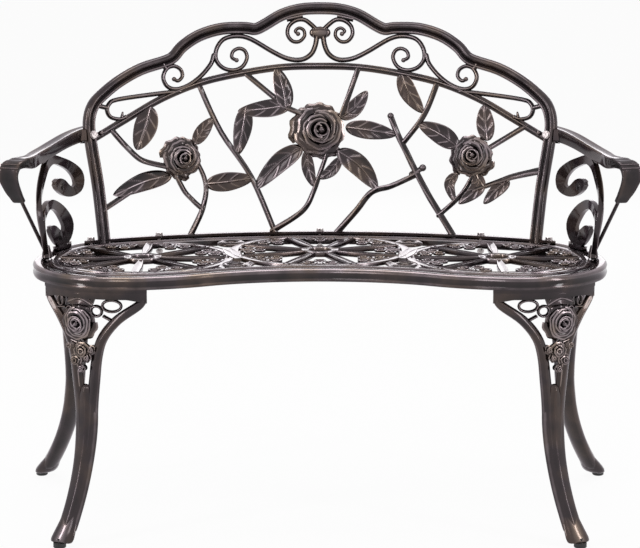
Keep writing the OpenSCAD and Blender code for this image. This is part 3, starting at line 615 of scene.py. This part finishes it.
class BenchFinish(PropertyGroup):
    coat: colour_of("Coat", "Bronze coat in plain light", "#2d2427")
    # painted shade, which fills the grooves
    shade: colour_of("Shade", "Coat in the grooves", "#0e0c0d")
    warm: colour_of("Warm", "Coat where it is thin and brown", "#41342f")
    # pale ridge colours: partly worn coat, partly painted highlight
    pale_wear_and_sheen: colour_of("Rubbed", "Rubbed ridges", "#8f8286")
    warm_pale_wear_and_sheen: colour_of("Rubbed warm", "Rubbed ridges of the brown patches", "#837367")
    glance: colour_of("Glance", "Tint of the coat's shine at a low angle", "#cbc2ca")
    steel: colour_of("Steel", "Bolts, nuts and washers", "#c3bcbb")
    plastic: colour_of("Plastic", "Plugs under the feet", "#161617")
    dust: colour_of("Dust", "Dust on the plugs", "#2c2b2b")
    ground: colour_of("Ground", "Floor under the lamps", "#e7e7e7")
    shadow: FloatProperty(name="Shadow", description="How much of the lamps' light the white floor shows",
                          default=0.06, min=0, max=1, subtype="FACTOR")


class BenchSettings(PropertyGroup):
    sizes: PointerProperty(type=BenchSizes)
    finish: PointerProperty(type=BenchFinish)


def sizes():
    return bpy.context.scene.bench.sizes


def coat():
    """The bronze coat, made once for all castings."""
    name = "Antique bronze coat on cast aluminium"
    return bpy.data.materials.get(name) or bronze_coat(bpy.context.scene.bench.finish, name)


# Outline of the seat, left half from front to back
SEAT_HALF = [(0, -124), (-50, -127), (-100, -136), (-150, -152), (-200, -176), (-250, -192),
             (-300, -200), (-350, -193), (-400, -165), (-440, -115), (-458, -60), (-461, -15),
             (-454, 35), (-438, 80), (-405, 130), (-352, 160), (-300, 180), (-250, 197), (-200, 211),
             (-150, 221), (-75, 231), (0, 234)]
# A spoke: a slender leaf, (from the hub's middle, across, width)
SPOKE = [(22, 0, 7), (33, 0, 8), (53, 0, 11), (73, 0, 14), (93, 0, 15), (113, 0, 14), (133, 0, 13),
         (141, 0, 12)]
LATTICE_T = 8
CURL_T = 4.2
# Plate where two wheels meet: (share of its half length, width), and that half length
MEETING = ((-1, 15), (-0.5, 22), (0, 25), (0.5, 22), (1, 15))
MEETING_HALF = 46
# Two leaves in the front of each gap between the wheels: (across, from the datum, width)
GAP_LEAVES = ([(112, -44, 15), (116, -62, 15), (118, -80, 14), (126, -98, 14)],
              [(141, -38, 20), (152, -56, 15), (157, -76, 15), (158, -100, 18)])


def seat_rim(bm, rim_w):
    """The rim: a skirt outside, two lips with a groove between them, and a plate inside."""
    skirt = RIM_Z - SEAT_TOP
    # (in from the outline, up from the top, paint level), with the groove between the lips painted in shade
    # and the lips painted pale, as wear and highlight
    profile = [(0.6, skirt, 0.2), (0, skirt + 1.2, 0.5), (0, skirt + 4, 0.5), (0.9, skirt + 5.2, 0.1),
               (0.9, -7.5, 0.25), (0, -6, 0.6), (0.8, -3.2, 0.6), (3, -0.8, 0.9), (6, 0, 0.7),
               (12, -0.2, 0.5), (15.5, -1.4, 0.6), (18, -3, 0.1), (23.5, -3.2, 0), (26.5, -1.6, 0.5),
               (29, -0.3, 0.9), (34, 0, 0.6), (38, -0.5, 0.8), (40.5, -2.2, 0.4), (43, -4, 0.2),
               (rim_w, skirt + 8, 0.2), (rim_w - 4, skirt + 8, 0.2), (rim_w - 5, -8, 0), (6, -8, 0),
               (5, skirt, 0.2)]
    loop = SEAT_HALF + [(-x, y) for x, y in reversed(SEAT_HALF[1:-1])]
    line = smooth(loop, 5, closed=True)
    n, m = len(line), len(profile)

    def rim(s, t):
        i = round(s * n) % n
        x, y, wear_and_shading = profile[round(t * m) % m]
        # the outline runs clockwise, seen from above, so inward is on its right
        way = (Vector(line[(i + 1) % n]) - Vector(line[i - 1])).normalized()
        return seat_at(*line[i], y + 1) + Vector((way.y, -way.x, 0)) * x, wear_and_shading
    skin(bm, n, m, rim)


def seat_wheel(bm, place, wheel_r, spokes):
    """One wheel: ring, hub round an open hole, leaf spokes and the curls between them."""
    def slab(surface, route, depth=CURL_T, lift=1.8, **more):
        bar(bm, surface, route, depth, section=SLAB_WITH_SHEEN, lift=lift, **more)
    wheel = turned(place)
    slab(wheel, ring((0, 0), wheel_r - 1, 14, 48), LATTICE_T, 0, closed=True, steps=2)
    slab(wheel, ring((0, 0), (HUB_R + HUB_HOLE) / 2, HUB_R - HUB_HOLE), LATTICE_T + 1.5, 0, closed=True,
         steps=2)
    for k in range(spokes):
        turn = place @ Matrix.Rotation(math.tau * k / spokes, 4, "Z")
        bar(bm, turned(turn), SPOKE, LATTICE_T, section=CHANNEL)
        # each gap holds a pair of curls round their eyes, with their stems, and a ring
        gap = turned(turn @ Matrix.Rotation(math.pi / spokes, 4, "Z"))
        for side in (-1, 1):
            eye = (wheel_r - 24, 18.5 * side)
            slab(gap, spiral(eye, 15.5, 4, 40 * side, -400 * side, 5, 3.2, 16), steps=3, ends=True)
            knob(bm, gap, *eye, 3.5, CURL_T, lift=1.8)
            slab(gap, [(wheel_r - inward, out * side, wide) for inward, out, wide in
                       ((12, 3, 4), (20, 1.5, 4), (32, 4, 3))], ends=True)
        slab(gap, ring((wheel_r - 43, 0), 8, 3.5, 12), closed=True, steps=2)


class BENCH_OT_seat(Operator):
    """Rim, wheels, spokes and curls of the seat"""
    bl_idname = "bench.seat"
    bl_label = "Seat"

    def execute(self, context):
        s = sizes()
        bm = bmesh.new()
        wheel_r = s.wheel_r / MM
        seat_rim(bm, s.rim_w / MM)
        # the middle wheel is turned by half a gap
        for (cx, cy), turn in ((SIDE_WHEEL, 0), (MID_WHEEL, 0.5), ((-SIDE_WHEEL[0], SIDE_WHEEL[1]), 0)):
            place = Matrix.Translation(seat_at(cx, cy, -LATTICE_T / 2))
            seat_wheel(bm, place @ Matrix.Rotation(math.tau * turn / s.spokes, 4, "Z"), wheel_r, s.spokes)
        flat = turned(Matrix.Translation(seat_at(0, 0, -LATTICE_T / 2)))
        middle = Vector(MID_WHEEL)
        back = math.radians(29)
        for side in (-1, 1):
            # a plate where two wheels meet, with a ring behind it, and a ring and leaves before it
            between = (Vector((-SIDE_WHEEL[0] * side, SIDE_WHEEL[1])) - middle).normalized()
            meet = middle + between * (wheel_r + 5)
            across = Vector((-between.y, between.x)) * MEETING_HALF
            bar(bm, flat, [(*(meet + across * k), w) for k, w in MEETING], LATTICE_T + 0.6, section=SLAB_WITH_SHEEN)
            behind = middle + (wheel_r + 29) * Vector((math.cos(back) * side, math.sin(back)))
            bar(bm, flat, ring(behind, 17, 15), LATTICE_T, closed=True, steps=1)
            bar(bm, flat, ring((135 * side, -70), 16, 13), LATTICE_T, closed=True, steps=1)
            for route in GAP_LEAVES:
                bar(bm, flat, [(x * side, y, w) for x, y, w in route], LATTICE_T, section=RIDGE)
        finish_casting(bm, "seat_casting", "seat")
        return {"FINISHED"}


# Routes of the back, (across, up) above the seat
FRAME_HALF = [(-364, -4), (-374, 90), (-385, 160), (-389, 200), (-382, 228), (-364, 248), (-338, 268),
              (-304, 286), (-264, 298), (-250, 306), (-236, 322), (-208, 340), (-170, 351), (-130, 352),
              (-112, 350), (-96, 357), (-66, 374), (-34, 383), (0, 385)]
ARCH_HALF = [(-384, 171), (-328, 203), (-270, 235), (-205, 260), (-140, 274), (-70, 284), (0, 286)]
# the bottom rail, along the curve of the back
RAIL_HALF, RAIL_Z, RAIL_W, RAIL_T = 396, 2.3, 14, 4.5
ARM_BOLT = (-385, 179)


class BENCH_OT_back_frame(Operator):
    """Arched frame, inner arch and bottom rail of the back"""
    bl_idname = "bench.back_frame"
    bl_label = "Back frame"

    def execute(self, context):
        s = sizes()
        bm = bmesh.new()
        bar(bm, back_at, both(sized(FRAME_HALF, s.frame_w / MM)), s.frame_d / MM, section=MOULDING)
        bar(bm, back_at, both(sized(ARCH_HALF, 12)), 11, section=RIDGE, steps=6)
        loft(bm, [(back_at(x, RAIL_Z), Vector((0, RAIL_W, 0)), Vector((0, 0, RAIL_T)))
                  for x in range(-RAIL_HALF, RAIL_HALF + 1, 12)], FLAT)
        # a small boss on each side, where the inner arch meets the frame
        for side in (-1, 1):
            knob(bm, back_at, side * 371, 181, r=5, depth=14, lift=4)
        finish_casting(bm, "back_frame", "backrest")
        return {"FINISHED"}


# Scrolls of the back's left half: a route, and its width at both ends as shares of a scroll's
SCROLLS = [
    # the curl beside the crown
    ([(-4, 346), (-14, 356), (-27, 365), (-42, 364), (-54, 354), (-56, 340), (-48, 329), (-36, 328),
      (-27, 337), (-28, 347), (-36, 351), (-43, 346), (-38, 341)], 1, 0.65),
    # the long S from the knot to the large curl
    ([(-5, 342), (-8, 322), (-16, 306), (-33, 297), (-56, 299), (-82, 311), (-120, 333), (-144, 338),
      (-166, 333), (-178, 317), (-179, 299), (-168, 285), (-150, 280), (-134, 286), (-126, 301),
      (-130, 313), (-140, 317), (-150, 312), (-152, 302), (-144, 297)], 1.1, 0.75),
    # from the large curl to the small one
    ([(-183, 306), (-188, 291), (-206, 270), (-228, 255), (-248, 250), (-262, 256), (-268, 271),
      (-262, 285), (-250, 289), (-239, 283), (-236, 272), (-243, 264), (-250, 267)], 1, 0.75),
    # the low hook in the corner
    ([(-240, 246), (-280, 243), (-343, 236), (-357, 229), (-360, 218), (-354, 207), (-340, 203),
      (-330, 206)], 1, 0.8),
]
# Short stays from the scrolls to the frame: (from, to, width)
STAYS = (((-58, 366), (-30, 372), 9), ((-262, 283), (-268, 293), 9), ((-358, 222), (-374, 227), 8))


class BENCH_OT_back_scrolls(Operator):
    """Scrolls between the frame and the inner arch"""
    bl_idname = "bench.back_scrolls"
    bl_label = "Back scrolls"

    def execute(self, context):
        # scrolls are a little thinner than branches
        w = sizes().branch_w / MM * 0.9
        bm = bmesh.new()
        for route, first, last in SCROLLS:
            bar(bm, back_at, taper(route, w * first, w * last), 9, ends=True)
            knob(bm, back_at, *route[-1], w * 0.5, 11)
        # the hook's spur
        bar(bm, back_at, taper([(-337, 200), (-335, 214)], w, 3), 5, ends=True)
        for a, b, width in STAYS:
            bar(bm, back_at, [(*a, width), (*b, width)], 8)
        mirrored(bm)
        # the knot that ties the two halves under the crown, with a collar on each side
        bar(bm, back_at, both([(-10, 343, 17), (-6, 343, 20), (0, 343, 22)]), 13, section=ROUND, ends=True)
        for side in (-1, 1):
            collar = [(11 * side, 336), (12.5 * side, 343), (11 * side, 350)]
            bar(bm, back_at, sized(collar, 3.5), 15, ends=True)
        finish_casting(bm, "back_scrolls", "backrest")
        return {"FINISHED"}


# Each branch: its route and its width at both ends, as shares of the branch's width
BRANCHES = [
    ([(-352, 185), (-337, 166), (-320, 147), (-300, 131), (-262, 120)], 1, 1),
    ([(-246, 104), (-232, 77), (-218, 61), (-202, 46)], 0.9, 0.9),
    ([(-210, 124), (-199, 99), (-196, 75), (-200, 53), (-208, 31), (-223, 1)], 0.8, 1.1),
    ([(-206, 252), (-170, 175), (-118, 97), (-77, 2)], 1, 1),
    ([(-126, 272), (-80, 234)], 1, 1),
    ([(-66, 219), (-30, 204)], 1, 1),
    ([(12, 136), (0, 103), (-10, 75), (-22, 49), (-42, 30), (-82, 6)], 0.8, 1.1),
    ([(66, 282), (53, 245), (36, 200)], 1, 1),
    ([(122, 201), (136, 167), (151, 137), (166, 107), (185, 72), (204, 41), (229, 1)], 1.1, 1.2),
    ([(200, 256), (187, 221), (172, 193), (145, 158)], 1.1, 1),
    ([(168, 104), (124, 83), (98, 76), (82, 65), (62, 39), (28, 1)], 1, 1.2),
    ([(158, 104), (177, 115)], 1, 0.9),
    ([(285, 150), (348, 192)], 1, 1),
    ([(262, 80), (300, 95), (330, 107), (368, 118)], 0.8, 1.3),
    ([(262, 105), (246, 77), (228, 57), (204, 35)], 0.9, 0.9),
    ([(-370, 51), (-322, 81)], 1, 1),
]


class BENCH_OT_branches(Operator):
    """Branches of the back"""
    bl_idname = "bench.branches"
    bl_label = "Branches"

    def execute(self, context):
        w = sizes().branch_w / MM * 1.08
        bm = bmesh.new()
        for route, first, last in BRANCHES:
            bar(bm, back_at, taper(route, w * first, w * last), w, section=TWIG, steps=5, ends=True,
                twist=0.25)
        # the cut ends of two branches
        knob(bm, back_at, 122, 202, w * 0.6, w * 1.3)
        knob(bm, back_at, 177, 115, w * 0.65, w * 1.3)
        finish_casting(bm, "back_branches", "backrest")
        return {"FINISHED"}


# Each leaf: its route from stalk to tip, its width, how far its edges curl, and its lean
LEAVES = [
    ([(-290, 222), (-299, 185), (-312, 150)], 36, 3, 1),
    ([(-216, 156), (-202, 178), (-184, 200)], 22, 3, -1),
    ([(-255, 104), (-300, 96), (-350, 76)], 29, -3, 3.5),
    ([(-197, 88), (-158, 91), (-115, 96)], 30, 3, 1),
    ([(-128, 218), (-134, 180), (-143, 135)], 30, 3, -2),
    ([(-50, 220), (-92, 214), (-142, 210)], 28, 3, 1),
    ([(-58, 212), (-64, 246), (-76, 284)], 30, -3, 2),
    ([(-30, 148), (-70, 122), (-113, 77)], 32, 3, 2),
    ([(-24, 142), (-20, 110), (-10, 80)], 20, 3, 0),
    ([(36, 130), (20, 108), (-2, 94)], 18, 3, 0),
    ([(34, 198), (60, 215), (82, 244)], 26, 3, -1),
    ([(44, 182), (86, 177), (132, 170)], 29, 3, 1),
    ([(30, 142), (68, 116), (99, 77)], 34, 3, -2),
    ([(140, 276), (153, 242), (178, 208)], 28, 3, 1),
    ([(236, 152), (208, 172), (170, 190)], 32, -3, 2),
    ([(286, 164), (283, 195), (281, 225)], 28, 3, 0),
    ([(322, 100), (304, 84), (280, 58)], 20, 3, 0),
    ([(236, 108), (223, 88), (232, 58)], 16, 3, 0),
    ([(268, 110), (270, 84), (238, 56)], 22, 3, 0),
]


class BENCH_OT_leaves(Operator):
    """Leaves of the back"""
    bl_idname = "bench.leaves"
    bl_label = "Leaves"

    def execute(self, context):
        bm = bmesh.new()
        for route, width, curl, lean in LEAVES:
            leaf(bm, back_at, route, width, curl=curl, lean=lean)
        finish_casting(bm, "back_leaves", "backrest")
        return {"FINISHED"}


# Each rose: its place, its turn, its radius as a share of the middle one's, and its height
ROSES = ((-236, 133, 0, 0.74, 22), (0, 177, 30, 1, 28), (262, 138, 60, 0.78, 22))


class BENCH_OT_roses(Operator):
    """Three roses of the back"""
    bl_idname = "bench.roses"
    bl_label = "Roses"

    def execute(self, context):
        bm = bmesh.new()
        for x, z, turn, share, height in ROSES:
            rose(bm, stand_on(back_at, x, z, turn), sizes().rose_r / MM * share, height)
        finish_casting(bm, "back_roses", "backrest")
        return {"FINISHED"}


# Arm's rail, (along, up), from the back to the front, and its front end, which widens, rolls
# over and runs back down as a tongue: (x, y, height, width)
ARM_RAIL = [(4, 181), (28, 179), (58, 175), (94, 169), (132, 163), (168, 159), (194, 157)]
ARM_ROLL = [(-478, -56, 158, 30), (-488, -70, 153, 32), (-491, -77, 138, 32), (-485, -75, 118, 27),
            (-477, -68, 100, 20)]
ROLL_ACROSS = Vector((0.97, -0.24, 0))
# Scrolls of the arm: (along, up, width as a share of the scroll's)
UPPER_SCROLL = [(184, 4, 1.2), (193, 30, 1.2), (196, 58, 1.2), (187, 84, 1.2), (170, 106, 1.25),
                (150, 127, 1.3), (132, 144, 1.2), (110, 150, 1.1), (85, 144, 1.1), (58, 133, 1.3),
                (39, 116, 1.7), (39, 98, 1.5), (54, 90, 1.1), (70, 94, 1.6), (84, 102, 1.9), (98, 108, 1.5),
                (106, 110, 0.6)]
LOWER_SCROLL = [(180, 4, 1.1), (181, 30, 1.2), (176, 54, 1.3), (160, 70, 1.3), (131, 79, 1.15),
                (104, 71, 1.3), (84, 55, 1.7), (73, 36, 1.9), (82, 18, 1.8), (101, 18, 2), (119, 30, 1.8),
                (131, 37, 1.2), (137, 40, 0.5)]


def arm_rail(bm, w, t):
    """Rail of an arm, w wide and t thick, and the tongue that it rolls over into."""
    steps = 8
    stations = [(*arm_at(*p, 3), w, t + 3 * max(0, 1 - i / 3)) for i, p in enumerate(ARM_RAIL)]
    stations += [(x, y - DATUM_Y, SEAT_TOP + z, wide, max(7, t - 5 * (i + 1)))
                 for i, (x, y, z, wide) in enumerate(ARM_ROLL)]
    line = smooth(stations, steps)
    turn_at = (len(ARM_RAIL) - 1) * steps
    rings = []
    for i, (x, y, z, wide, thick) in enumerate(line):
        way = (Vector(line[min(i + 1, len(line) - 1)][:3]) - Vector(line[max(i - 1, 0)][:3])).normalized()
        level = Vector((0, 0, 1)).cross(way).normalized()
        side = level.lerp(ROLL_ACROSS, clamp((i - turn_at) / steps)).normalized()
        # shallow waves cross the tongue
        wave = 1 - 0.12 * max(0, math.sin((i - turn_at) * 0.9)) if i > turn_at + 6 else 1
        rings.append((Vector((x, y, z)), side * wide, way.cross(side).normalized() * thick * wave))
    # the tongue's end is nearly square
    origin, side, out = rings[-1]
    way = (origin - rings[-2][0]).normalized()
    rings += [(origin + way * 4 * k, side * (1 - 0.4 * k ** 4), out * (1 - 0.6 * k ** 4))
              for k in (0.4, 0.75, 1)]
    # the tongue is painted darker than the rail, with faint pale lips, and has two ribs across it
    roll = turn_at + 5
    loft(bm, rings[:roll + 1], ARM_SECTION)
    loft(bm, rings[roll:], [(x, y, wear_and_shading * 0.45) for x, y, wear_and_shading in ARM_SECTION])
    for i in (roll + 10, roll + 13):
        origin, side, out = rings[i]
        along = (rings[i + 1][0] - origin).normalized() * 2.6
        loft(bm, [(origin + out * 0.46 + side * k / 8, along, out.normalized() * 1.8) for k in range(-4, 5)],
             ROUND)


def arm(bm):
    """The left arm casting but for its lug."""
    s = sizes()
    scroll, depth = s.scroll_w / MM, s.branch_w / MM + 1
    arm_rail(bm, s.arm_w / MM, s.arm_t / MM)
    for route in (UPPER_SCROLL, LOWER_SCROLL):
        bar(bm, arm_at, [(u, z, w * scroll) for u, z, w in route], depth, section=SLAB, ends=True)
    # the eyes of the two scrolls
    for u, z, r in ((86, 103, 9), (102, 22, 11)):
        knob(bm, arm_at, u, z, r, depth + 2, wear_and_shading_value=0.4)
    # webs from the upper scroll to the rail, and from the stem to the lower scroll
    bar(bm, arm_at, [(104, 160, 13), (128, 158, 14), (152, 156, 15)], depth, section=SLAB)
    bar(bm, arm_at, sized([(182, 62), (197, 62)], 10), depth, section=ROUND)
    # thin strut from the tongue to the foot of the stem
    foot, top = arm_at(187, 8), Vector((-476, -67 - DATUM_Y, SEAT_TOP + 106))
    way = (top - foot).normalized()
    side = way.cross(Vector((1, 0, 0))).normalized()
    loft(bm, [(foot.lerp(top, k / 8), side * (8 - k / 4), side.cross(way) * 6) for k in range(9)], ROUND)
    # the lower scroll's foot, and the collar round the foot of the stem
    bar(bm, arm_at, sized([(72, 3), (92, 3), (112, 3)], 6), 13, section=SLAB, ends=True)
    base = arm_at(186, 0)
    loft(bm, [(base + Vector((0, 0, h)), Vector((d, 0, 0)), Vector((0, d, 0)))
              for h, d in ((0, 15), (1, 17), (8, 15.3), (20, 9.35))], ROUND)


class BENCH_OT_arms(Operator):
    """Both arms: rail, scrolls, stem and feet"""
    bl_idname = "bench.arms"
    bl_label = "Arms"

    def execute(self, context):
        for side in ("left", "right"):
            bm = bmesh.new()
            arm(bm)
            # the lug behind the back's upright, and the neck that joins it to the rail
            lug = turned(stand_on(back_at, *ARM_BOLT))
            bar(bm, lug, sized([(-16, 0), (-2, 0), (11, 0)], 26), 6, section=BLOCK, lift=-12.2, steps=2)
            bar(bm, lug, sized([(-24, 0), (-18, 0), (-13, 0)], 18), 25, section=BLOCK, lift=-2.5, steps=2)
            if side == "right":
                bmesh.ops.scale(bm, vec=(-1, 1, 1), verts=bm.verts[:])
            finish_casting(bm, "arm_casting_" + side, "arm_" + side)
        return {"FINISHED"}


# Lower leg from the toe to the fork, (across, up, what it adds to the ankle's width), and the
# left strut of the fork, (across, up, width)
LOWER_LEG = [(0, 30, 0), (0, 44, 0), (0, 60, 0), (0, 120, 2), (0, 200, 7), (0, 228, 2), (0, 241, -8)]
STRUT = [(7, 150, 8), (8, 172, 15), (9, 196, 19), (11, 225, 19), (15, 258, 18), (20.5, 298, 17),
         (31, 328, 16), (50, 356, 15), (72, 378, 14), (78, 388, 11)]
# Toe, which swells forward over the plug: (height, added width, depth)
TOE = [(FOOT_Z, 5, 15), (FOOT_Z + 2, 8, 19), (14, 9, 21), (20, 7, 21), (28, 4, 19), (38, 0, 15), (50, -4, 12)]
# Flange under the rim, and the smooth band that hangs from it and is deeper at its ends
FLANGE_W, FLANGE_T = 28, 6
BAND_T, BAND_H, BAND_END = 10, 11, 6
# Openwork of the fork: buds (across, up, radius), rings (across, up, half width, half height)
# and links (from, to, width)
BUDS = ((-2, 306, 13), (-13, 290, 10), (6, 296, 7), (-24, 312, 7), (13, 309, 7), (-4, 277, 6))
RINGS = ((21, 369, 9, 8), (46, 378, 15, 9), (-45, 381, 6, 8), (-26, 368, 6, 6))
LINKS = (((-12, 318), (-34, 324), 7), ((4, 304), (24, 310), 7), ((-9, 248), (-12, 286), 12),
         ((32, 362), (44, 356), 5), ((-34, 372), (-52, 370), 5))


def leg(bm, at, reach, stout):
    """A leg on its surface, whose inner strut and flange go reach mm along the rim, and which
    is stout times as thick as the front legs."""
    s = sizes()
    w, t = s.ankle_w / MM, s.leg_t / MM * stout

    def across(z):
        return (at(1, z) - at(0, z)).normalized()

    def outward(a, z):
        return at(a, z) - at(a, z, -1)
    bar(bm, at, [(a, z, w + more) for a, z, more in LOWER_LEG], t, section=SHIN, steps=6, ends=True)
    loft(bm, [(at(-1, z), across(z) * (w + more), outward(0, z) * deep * stout) for z, more, deep in TOE],
         ROUND)
    # only the top of the inner strut goes out further
    for side, further in ((-1, 1), (1, 2 * reach / 81 - 1)):
        bar(bm, at, [(side * (a if a < 40 else 40 + (a - 40) * further), z, wide) for a, z, wide in STRUT],
            t - 3, section=SHIN, steps=5)
    stations = range(-80, reach + 1, 4)
    loft(bm, [(at(a, RIM_Z - FLANGE_T / 2, -8), outward(a, RIM_Z) * FLANGE_W, Vector((0, 0, FLANGE_T)))
              for a in stations], BLOCK)
    band = []
    for a in stations:
        deep = BAND_H + BAND_END * max(0, -50 - a, a - reach + 30) / 30
        band.append((at(a, RIM_Z - 5.4 - deep / 2), outward(a, RIM_Z) * BAND_T, Vector((0, 0, deep))))
    for pair in zip(band, band[1:]):
        loft(bm, pair, BLOCK)
    rose(bm, stand_on(at, -8, 350, 20), radius=29, height=20, tiers=LEG_ROSE)
    leaf(bm, at, [(-28, 381), (-6, 388), (16, 379)], 15, lift=3, veins=0)
    # each bud is turned by its place, so that no two look alike
    for a, z, r in BUDS:
        rose(bm, stand_on(at, a, z, a * 7), radius=r, height=13, tiers=BUD)
    for a, z, rx, rz in RINGS:
        bar(bm, at, oval((a, z), rx, rz, 4.5, 10), 7, closed=True, steps=2)
    for a, b, wide in LINKS:
        bar(bm, at, [(*a, wide), (*b, wide)], 8)


class BENCH_OT_legs(Operator):
    """Four cabriole legs, each with its rose"""
    bl_idname = "bench.legs"
    bl_label = "Legs"

    def execute(self, context):
        for row, at, reach, stout in (("front", front_leg_at, 100, 1), ("rear", rear_leg_at, 80, 1.7)):
            for side in ("left", "right"):
                bm = bmesh.new()
                leg(bm, at, reach, stout)
                if side == "right":
                    bmesh.ops.scale(bm, vec=(-1, 1, 1), verts=bm.verts[:])
                finish_casting(bm, f"leg_casting_{row}_{side}", f"leg_{row}_{side}")
        return {"FINISHED"}


class BENCH_OT_fittings(Operator):
    """Finishes of the bolts, nuts, washers and foot plugs"""
    bl_idname = "bench.fittings"
    bl_label = "Fittings"

    def execute(self, context):
        finish = context.scene.bench.finish
        steel, plastic = plated_steel(finish), moulded_plastic(finish)
        for name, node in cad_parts.items():
            if name.startswith("glide") or name.endswith(("bolts", "nuts", "washers", "screws")):
                node.data.materials.clear()
                node.data.materials.append(plastic if name.startswith("glide") else steel)
        return {"FINISHED"}


# Softboxes: (name, place and aim in metres, width and height in metres, watts). The low one
# behind the bench is what the flat tops of the seat and arms mirror.
LAMPS = (("left strip", (-2.8, -1.7, 1.5), (0, 0, 0.5), 0.4, 2.4, 34),
         ("right strip", (2.8, -1.7, 1.5), (0, 0, 0.5), 0.4, 2.4, 30),
         ("front softbox", (-0.9, -3.6, 2.6), (0, 0, 0.5), 1.2, 0.8, 14),
         ("top softbox", (0, 0.4, 3.2), (0, 0, 0.4), 2.4, 1.2, 36),
         ("back softbox", (0, 3.6, 1), (0, 0, 0.5), 3, 0.9, 14))
# Camera at the photograph's angle: place in metres, degrees that it looks down, lens in mm
CAMERA_AT = (0, -3.20216 - DATUM_Y * MM, 0.982145)
CAMERA_DOWN = 10.399
LENS = 112.5


def place_object(name, data, place, turn):
    thing = bpy.data.objects.new(name, data)
    thing.location, thing.rotation_euler = place, turn
    bpy.context.scene.collection.objects.link(thing)
    return thing


class BENCH_OT_stage(Operator):
    """White floor, soft lamps and the camera at the photograph's angle"""
    bl_idname = "bench.stage"
    bl_label = "Stage"

    def execute(self, context):
        scene = context.scene
        bm = bmesh.new()
        bmesh.ops.create_grid(bm, x_segments=1, y_segments=1, size=30)
        new_object(bm, "floor", white_ground(scene.bench.finish))

        # the room is seen white, and lights the bench with 0.55 of that
        world = bpy.data.worlds.new("Soft white room")
        world.use_nodes = True
        tree = world.node_tree
        tree.nodes.clear()
        level = add(tree, "ShaderNodeMapRange", Value=seen_white(tree), To_Min=0.55, To_Max=1.0)
        light = add(tree, "ShaderNodeBackground", Color=(1, 1, 1, 1), Strength=level.outputs[0])
        add(tree, "ShaderNodeOutputWorld", Surface=light.outputs[0])
        scene.world = world

        for name, place, aim, wide, high, power in LAMPS:
            lamp = bpy.data.lights.new(name, "AREA")
            lamp.shape, lamp.size, lamp.size_y, lamp.energy = "RECTANGLE", wide, high, power
            turn = (Vector(aim) - Vector(place)).to_track_quat("-Z", "Y").to_euler()
            place_object(name, lamp, place, turn).visible_camera = False

        camera = bpy.data.cameras.new("camera")
        camera.lens, camera.sensor_width = LENS, 36
        scene.camera = place_object("camera", camera, CAMERA_AT, (math.radians(90 - CAMERA_DOWN), 0, 0))
        scene.view_settings.view_transform = "Standard"
        return {"FINISHED"}


class BENCH_PT_panel(Panel):
    """Lists the bench's castings, fittings and stage"""
    bl_label = "Cast garden bench"
    bl_idname = "BENCH_PT_panel"
    bl_space_type = "VIEW_3D"
    bl_region_type = "UI"
    bl_category = "Bench"

    def draw(self, context):
        settings = context.scene.bench
        for group in (settings.sizes, settings.finish):
            for name in group.__annotations__:
                self.layout.prop(group, name)
        for operator in OPERATORS:
            self.layout.operator(operator.bl_idname)


# in the order in which main() calls them
OPERATORS = (BENCH_OT_seat, BENCH_OT_back_frame, BENCH_OT_back_scrolls, BENCH_OT_branches,
             BENCH_OT_leaves, BENCH_OT_roses, BENCH_OT_arms, BENCH_OT_legs, BENCH_OT_fittings,
             BENCH_OT_stage)
CLASSES = (BenchSizes, BenchFinish, BenchSettings, *OPERATORS, BENCH_PT_panel)


def register():
    for cls in CLASSES:
        bpy.utils.register_class(cls)
    bpy.types.Scene.bench = PointerProperty(type=BenchSettings)


def unregister():
    del bpy.types.Scene.bench
    for cls in reversed(CLASSES):
        bpy.utils.unregister_class(cls)


def main():
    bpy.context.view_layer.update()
    register()
    bpy.ops.bench.seat()
    bpy.ops.bench.back_frame()
    bpy.ops.bench.back_scrolls()
    bpy.ops.bench.branches()
    bpy.ops.bench.leaves()
    bpy.ops.bench.roses()
    bpy.ops.bench.arms()
    bpy.ops.bench.legs()
    bpy.ops.bench.fittings()
    bpy.ops.bench.stage()


if __name__ == "__main__":
    main()
